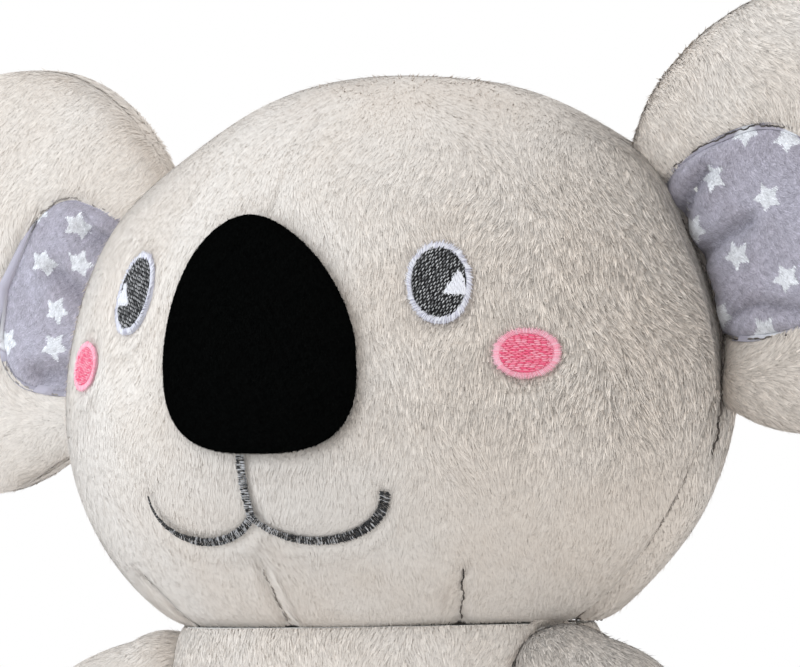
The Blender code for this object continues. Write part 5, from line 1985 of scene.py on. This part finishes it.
@dataclass
class Arms:
    """Both arms: stubby lobes in two panels."""

    tuft: Mesh
    stitch: Mesh
    out_by: float = 68.5 * MM
    forward: float = 20.0 * MM
    below_neck: float = 20.0 * MM
    root_radius: float = 18.5 * MM
    radius: float = 23.2 * MM
    length: float = 76.0 * MM
    splay: float = math.radians(55.5)
    swell_share: float = 0.4
    reach: float = math.radians(14)

    def shoulder(self, side: Side) -> Array:
        """The middle of an arm's ball root."""
        return np.array([side.value * self.out_by, HEAD.centre[1] - self.forward, BODY.height - self.below_neck])

    def way(self) -> tuple[float, float, float]:
        """The direction in which the left arm points."""
        flat = math.sin(self.splay)
        return flat * math.cos(self.reach), -flat * math.sin(self.reach), -math.cos(self.splay)

    def limb(self, side: Side) -> Limb:
        """The arm's form."""
        straight = self.length - self.radius
        profile = [
            (self.root_radius * math.cos(a), self.root_radius * math.sin(a)) for a in np.linspace(math.pi, QUARTER, 16)
        ]
        for share in np.linspace(0, 1, 16)[1:]:
            part = min(share / self.swell_share, 1)
            swell = self.root_radius + (self.radius - self.root_radius) * math.sin(part * QUARTER)
            profile.append((straight * share, swell))
        profile += [
            (straight + self.radius * math.cos(a), self.radius * math.sin(a)) for a in np.linspace(QUARTER, 0, 20)[1:]
        ]
        return Limb(self.shoulder(side), limb_axes(side, self.way()), rounded_profile(profile))

    def tone(self, side: Side) -> Field:
        """How much darker an arm's pile is painted near its shoulder, on the toy's left: painted shadow of the head."""
        strength = 0.3 if side is Side.LEFT else 0.0

        def darker(points: Array) -> Array:
            """The painted shadow: the drop in shade at each point."""
            away = np.linalg.norm(points - self.shoulder(side), axis=1)
            return strength * np.exp(-((away / (52 * MM)) ** 4))

        return darker

    def build(self) -> None:
        """Makes and dresses both arms."""
        for side in Side:
            limb, label = self.limb(side), side.label
            way = limb.axes[0]
            middle = limb.root + way * self.length / 2
            seam_line = np.concatenate(
                [limb.at(np.zeros(40), np.linspace(0, 1, 40)), limb.at(np.full(40, math.pi), np.linspace(1, 0, 40))]
            )

            def comb(points: Array, normals: Array, way: Array = way) -> Array:
                """The pile's lie: along the arm and down."""
                flow = np.broadcast_to(way + np.array([0, 0, -0.35]), points.shape)
                return along_cloth(flow, normals)

            for name, first in (("upper", 0.0), ("lower", math.pi)):
                panel = Panel(
                    f"arm_plush_{name}_{label}",
                    lambda u, v, first=first, limb=limb: limb.at(first + u * math.pi, v),
                    middle, 60, 60, replace(ARM_PILE, seed=60 + 4 * side.value + int(first)), PLUSH,
                    [seam_of("arm", seam_line)], comb=comb, tone=self.tone(side),
                    # The left arm lies on the shaded side: more depth, so more painted root shade and contrast.
                    depth=0.7 if side is Side.LEFT else 0.25,
                )
                dress(panel.build(self.tuft), f"arm_{label}", Slot.PLUSH, f"arm_{name}_{label}", fill=0.8)
            centre = np.array([self.length / 2 - self.root_radius / 2, 0])
            shrink = 1 - STUFFING_INSET / self.root_radius
            inner = replace(limb, profile=centre + (limb.profile - centre) * shrink)
            stuff(
                f"arm_wadding_{label}", lambda u, v, inner=inner: inner.at(u * TURN, v), middle,
                f"arm_{label}", f"arm_filling_{label}",
            )
            sunk = seam_line + unit(middle - seam_line) * 1.2 * MM
            seam_stitches(f"seam_arm_{label}", sunk[8:-8], f"arm_{label}", self.stitch, 64 + side.value)


@dataclass
class Legs:
    """Both legs: tapered tubes with a round star sole, lying forward on the floor."""

    tuft: Mesh
    stitch: Mesh
    out_by: float = 43.0 * MM
    forward: float = 71.0 * MM
    root_radius: float = 22.0 * MM
    radius: float = 26.0 * MM
    length: float = 66.0 * MM
    splay: float = math.radians(16)
    sole_radius: float = 21.0 * MM
    sole_dome: float = 3.0 * MM
    floor_cut: float = 0.5 * MM

    def hip(self, side: Side) -> Array:
        """The middle of a leg's ball root."""
        return np.array([side.value * self.out_by, HEAD.centre[1] - self.forward, self.root_radius - self.floor_cut])

    def limb(self, side: Side, sole: bool) -> Limb:
        """The form of a leg's tube or of its sole."""
        turn = self.radius - self.sole_radius
        straight = self.length - turn
        if sole:
            shares = np.linspace(1, 0, 20)
            profile = [(self.length + self.sole_dome * (1 - t**2), (self.sole_radius - GAP) * t) for t in shares]
        else:
            profile = [
                (self.root_radius * math.cos(a), self.root_radius * math.sin(a))
                for a in np.linspace(math.pi, QUARTER, 16)
            ]
            for share in np.linspace(0, 1, 16)[1:]:
                swell = self.root_radius + (self.radius - self.root_radius) * math.sin(share * QUARTER)
                profile.append((straight * share, swell))
            profile += [
                (straight + turn * math.cos(a), self.sole_radius + turn * math.sin(a))
                for a in np.linspace(QUARTER, 0, 8)[1:]
            ]
        way = (math.sin(self.splay), -math.cos(self.splay), 0)
        return Limb(
            self.hip(side), limb_axes(side, way), rounded_profile(profile), self.radius - self.root_radius, self.length
        )

    def build(self) -> None:
        """Makes and dresses both legs."""
        for side in Side:
            label = side.label
            tube, sole = self.limb(side, False), self.limb(side, True)
            way = tube.axes[0]
            middle = tube.root + way * self.length / 2

            def laid(limb: Limb) -> Lay:
                """Lays a grid round a limb and presses it flat on the floor."""

                def place(u: Array, v: Array) -> Array:
                    """Places by u round the limb and v along it."""
                    points = limb.at(u * TURN - QUARTER, v)
                    points[:, 2] = np.maximum(points[:, 2], 0.6 * MM)
                    return points

                return place

            def comb(points: Array, normals: Array, way: Array = way) -> Array:
                """The pile's lie: along the leg and down."""
                return along_cloth(np.broadcast_to(way + np.array([0, 0, -0.3]), points.shape), normals)

            def room(points: Array) -> Array:
                """The pile under the leg is pressed away by the floor."""
                return points[:, 2] - 0.9 * MM

            rim = tube.at(np.linspace(0, TURN, 61), np.ones(61))
            sole_seam = seam_of("sole", rim)
            skin = Panel(
                f"leg_plush_{label}", laid(tube), middle, 100, 50, replace(LEG_PILE, seed=70 + side.value),
                PLUSH, [sole_seam], room=room, comb=comb,
            )
            dress(skin.build(self.tuft), f"leg_{label}", Slot.PLUSH, f"leg_skin_{label}", fill=0.8)
            minky = replace(SOLE_PILE, seed=74 + side.value)
            stars = SoleStars(sole, self.sole_radius)
            patch = Panel(
                f"leg_star_sole_{label}", laid(sole), middle, 80, 18, minky, STAR_PLUSH, [sole_seam],
                room=room, printed=stars.inside, depth=0.6, lumps=0.3 * MM,
            )
            dress(patch.build(self.tuft), f"leg_{label}", Slot.STARS, f"leg_sole_{label}", fill=0.6)
            seam_stitches(f"seam_sole_{label}", rim - way * 1.2 * MM, f"leg_{label}", self.stitch, 78 + side.value)


@dataclass
class SoleStars:
    """The printed stars of one sole."""

    limb: Limb
    radius: float
    star_radius: float = 4.6 * MM

    def inside(self, points: Array) -> Array:
        """1 where a place lies in a printed star."""
        local = (points - self.limb.root) @ self.limb.axes.T
        x, y = local[:, 1], local[:, 2] - self.limb.rise
        found = np.zeros(len(points))
        for index, (star_x, star_y) in enumerate(((0, 1), (11, 9), (-11, 7), (-8, -10), (9, -8), (-1, 16), (1, -17))):
            dx, dy = x - star_x * MM, y - star_y * MM
            angle = np.arctan2(dy, dx) - 0.7 * index
            fold = np.abs((angle + math.pi / 5) % (TURN / 5) - math.pi / 5)
            away = np.hypot(dx, dy)
            tip, notch = self.star_radius * 0.8, 0.38 * self.star_radius
            notch_x, notch_y = notch * math.cos(math.pi / 5), notch * math.sin(math.pi / 5)
            level = (away * np.cos(fold) - tip) * notch_y - away * np.sin(fold) * (notch_x - tip)
            found = np.where(level < 0, 1.0, found)
        return found


@dataclass
class Body:
    """The body's front and back panels and its seat."""

    tuft: Mesh
    stitch: Mesh
    sockets: list[tuple[Array, float]]

    def hollowed(self, points: Array) -> Array:
        """The cloth dips round the root of each limb."""
        inward = unit((np.array([0, NECK[1], BODY.height / 2]) - points) * np.array([1, 1, 0]))
        for centre, radius in self.sockets:
            away = points - centre
            ahead = (away * inward).sum(axis=1)
            inside = (away**2).sum(axis=1) < radius**2
            root = np.sqrt(np.maximum(ahead**2 - (away**2).sum(axis=1) + radius**2, 0))
            points = points + inward * np.where(inside, root - ahead, 0)[:, None]
        return points

    def room(self, points: Array) -> Array:
        """How far a point is from the hollows and from the head."""
        away = np.full(len(points), BODY.height)
        for centre, radius in self.sockets:
            away = np.minimum(away, np.linalg.norm(points - centre, axis=1) - radius - 0.2 * MM)
        return away

    def build(self) -> None:
        """Makes and dresses the body's pieces."""
        middle = np.array([0, NECK[1], BODY.height / 2])
        heights = np.linspace(0, BODY.height - GAP, 60)
        sides = [BODY.at(np.full(60, turn), heights) for turn in (-QUARTER, QUARTER)]
        neck = BODY.at(np.linspace(-math.pi, math.pi, 61), np.full(61, BODY.height))
        hem = BODY.at(np.linspace(-math.pi, math.pi, 61), np.full(61, 0.5 * MM))
        seams = [seam_of("body", line) for line in sides]
        seams.append(seam_of("neck", neck))
        for name, first in (("front", -QUARTER), ("back", QUARTER)):

            def place(u: Array, v: Array, first: float = first) -> Array:
                """Lays a grid on half of the body."""
                return self.hollowed(BODY.at(first + u * math.pi, v**1.3 * (BODY.height - GAP)))

            panel = Panel(
                f"body_plush_{name}", place, middle, 110, 66, BODY_PILES[name], PLUSH, seams, room=self.room,
            )
            dress(panel.build(self.tuft), "torso", Slot.PLUSH, f"body_{name}", fill=0.85)
        for line, label in zip(sides, ("right", "left")):
            sunk = line + unit((middle - line) * np.array([1, 1, 0])) * 1.4 * MM
            seam_stitches(f"seam_body_{label}", sunk, "torso", self.stitch, 46)
        seat_rim = BODY.seat_half_width - CLOTH - GAP

        def seat(u: Array, v: Array) -> Array:
            """Lays a grid on the seat."""
            turn, share = u * TURN, v * seat_rim
            y = NECK[1] - share * BODY.depth_share * np.cos(turn)
            return np.stack([share * np.sin(turn), y, np.full_like(u, 0.9 * MM)], axis=1)

        bottom = Panel("seat_plush", seat, middle, 90, 20, SEAT_PILE, PLUSH, lumps=0.0)
        dress(bottom.build(self.tuft), "torso", Slot.PLUSH, "seat_panel", fill=0.5)
        seam_stitches("seam_seat", hem * np.array([0.985, 1, 1]) + np.array([0, 0, 0.9 * MM]), "torso", self.stitch, 49)


@dataclass
class Studio:
    """The floor, the light and the photograph's camera."""

    lens: float = 327.0
    camera_from_head: tuple[float, float, float] = (1086.29 * MM, -1889.62 * MM, -41.21 * MM)
    right: tuple[float, float, float] = (0.86665, 0.49860, -0.01778)
    up: tuple[float, float, float] = (0.02484, -0.00752, 0.99966)
    back: tuple[float, float, float] = (0.49830, -0.86680, -0.01891)
    shift: tuple[float, float] = (0.0076, 0.0585)
    fill_light: float = 0.97
    key_power: float = 17.5
    key_size: float = 2.2
    key_way: tuple[float, float, float] = (-0.9, 0.35, 0.25)
    key_colour: tuple[float, float, float] = (0.88, 1.0, 1.12)
    key_distance: float = 1.7
    bounce_power: float = 20.0
    bounce_way: tuple[float, float, float] = (0.95, 0.25, -0.4)
    bounce_colour: tuple[float, float, float] = (1.0, 0.95, 0.86)

    def camera(self) -> None:
        """The camera at the photograph's place and angle."""
        data = bpy.data.cameras.new("camera")
        data.lens = self.lens
        data.sensor_width = 36
        data.shift_x, data.shift_y = self.shift
        data.clip_start, data.clip_end = 0.1, 50
        camera = bpy.data.objects.new("camera", data)
        axes = Matrix((self.right, self.up, self.back)).transposed()
        place = Vector(HEAD.centre) + Vector(self.camera_from_head)
        camera.matrix_world = Matrix.Translation(place) @ axes.to_4x4()
        bpy.context.scene.collection.objects.link(camera)
        bpy.context.scene.camera = camera

    def area(self, name: str, way: Sequence[float], power: float, colour: Sequence[float]) -> None:
        """A soft light in the camera's directions: right, toward the camera and up."""
        aim = Vector(self.right) * way[0] + Vector(self.back) * way[1] + Vector(self.up) * way[2]
        data = bpy.data.lights.new(name, "AREA")
        data.shape, data.size, data.energy = "DISK", self.key_size, power
        data.color = colour
        light = bpy.data.objects.new(name, data)
        light.location = Vector(HEAD.centre) + aim.normalized() * self.key_distance
        light.rotation_euler = aim.to_track_quat("Z", "Y").to_euler()
        bpy.context.scene.collection.objects.link(light)

    def world(self) -> None:
        """A white backdrop that lights the toy softly from all round."""
        world = bpy.data.worlds.new("studio")
        world.use_nodes = True
        bpy.context.scene.world = world
        bench = NodeBench(world.node_tree)
        backdrop = world.node_tree.nodes["Background"]
        backdrop.inputs["Color"].default_value = (1, 1, 1, 1)
        seen = bench.add("ShaderNodeLightPath").outputs["Is Camera Ray"]
        strength = bench.maths("MULTIPLY_ADD", seen, 1 - self.fill_light, self.fill_light)
        bench.feed(backdrop.inputs["Strength"], strength)
        bpy.context.scene.view_settings.view_transform = "Standard"

    def floor(self) -> None:
        """A plain pale floor."""
        shape = bmesh.new()
        bmesh.ops.create_grid(shape, x_segments=2, y_segments=2, size=3)
        bmesh.ops.translate(shape, verts=shape.verts[:], vec=(0, 0, -0.2 * MM))
        mesh = bpy.data.meshes.new("floor")
        shape.to_mesh(mesh)
        shape.free()
        finish = bpy.data.materials.new("pale floor")
        finish.use_nodes = True
        finish.node_tree.nodes["Principled BSDF"].inputs["Base Color"].default_value = (0.82, 0.82, 0.82, 1)
        finish.node_tree.nodes["Principled BSDF"].inputs["Roughness"].default_value = 0.9
        mesh.materials.append(finish)
        floor = bpy.data.objects.new("floor", mesh)
        bpy.context.scene.collection.objects.link(floor)

    def build(self) -> None:
        """Sets up camera, lights, world and floor."""
        self.camera()
        self.area("key", self.key_way, self.key_power, self.key_colour)
        self.area("bounce", self.bounce_way, self.bounce_power, self.bounce_colour)
        self.world()
        self.floor()


def dress_fillings() -> None:
    """Gives the fillings, which stay inside their cloth, the look of wadding."""
    for node in frame["nodes"]:
        if "filling" in node:
            piece = bpy.data.objects[node]
            for index in range(len(piece.material_slots)):
                piece.material_slots[index].material = WADDING.material()


def main() -> None:
    """Builds and dresses every piece of the toy."""
    logging.basicConfig(level=logging.INFO, format="%(name)s %(message)s")
    Studio().build()
    tuft, stitch = tuft_mesh(), stitch_mesh()
    ears = [Ear(side, tuft, stitch) for side in Side]
    Head(tuft, stitch, ears=ears).build()
    Mouth().build(stitch)
    for side in Side:
        Eye(side).build(stitch)
        Cheek(side).build(stitch)
    for ear in ears:
        ear.build()
    arms, legs = Arms(tuft, stitch), Legs(tuft, stitch)
    arms.build()
    legs.build()
    sockets = [(arms.shoulder(side), arms.root_radius + MM) for side in Side]
    sockets += [(legs.hip(side), legs.root_radius + MM) for side in Side]
    Body(tuft, stitch, sockets).build()
    dress_fillings()


if __name__ == "__main__":
    main()
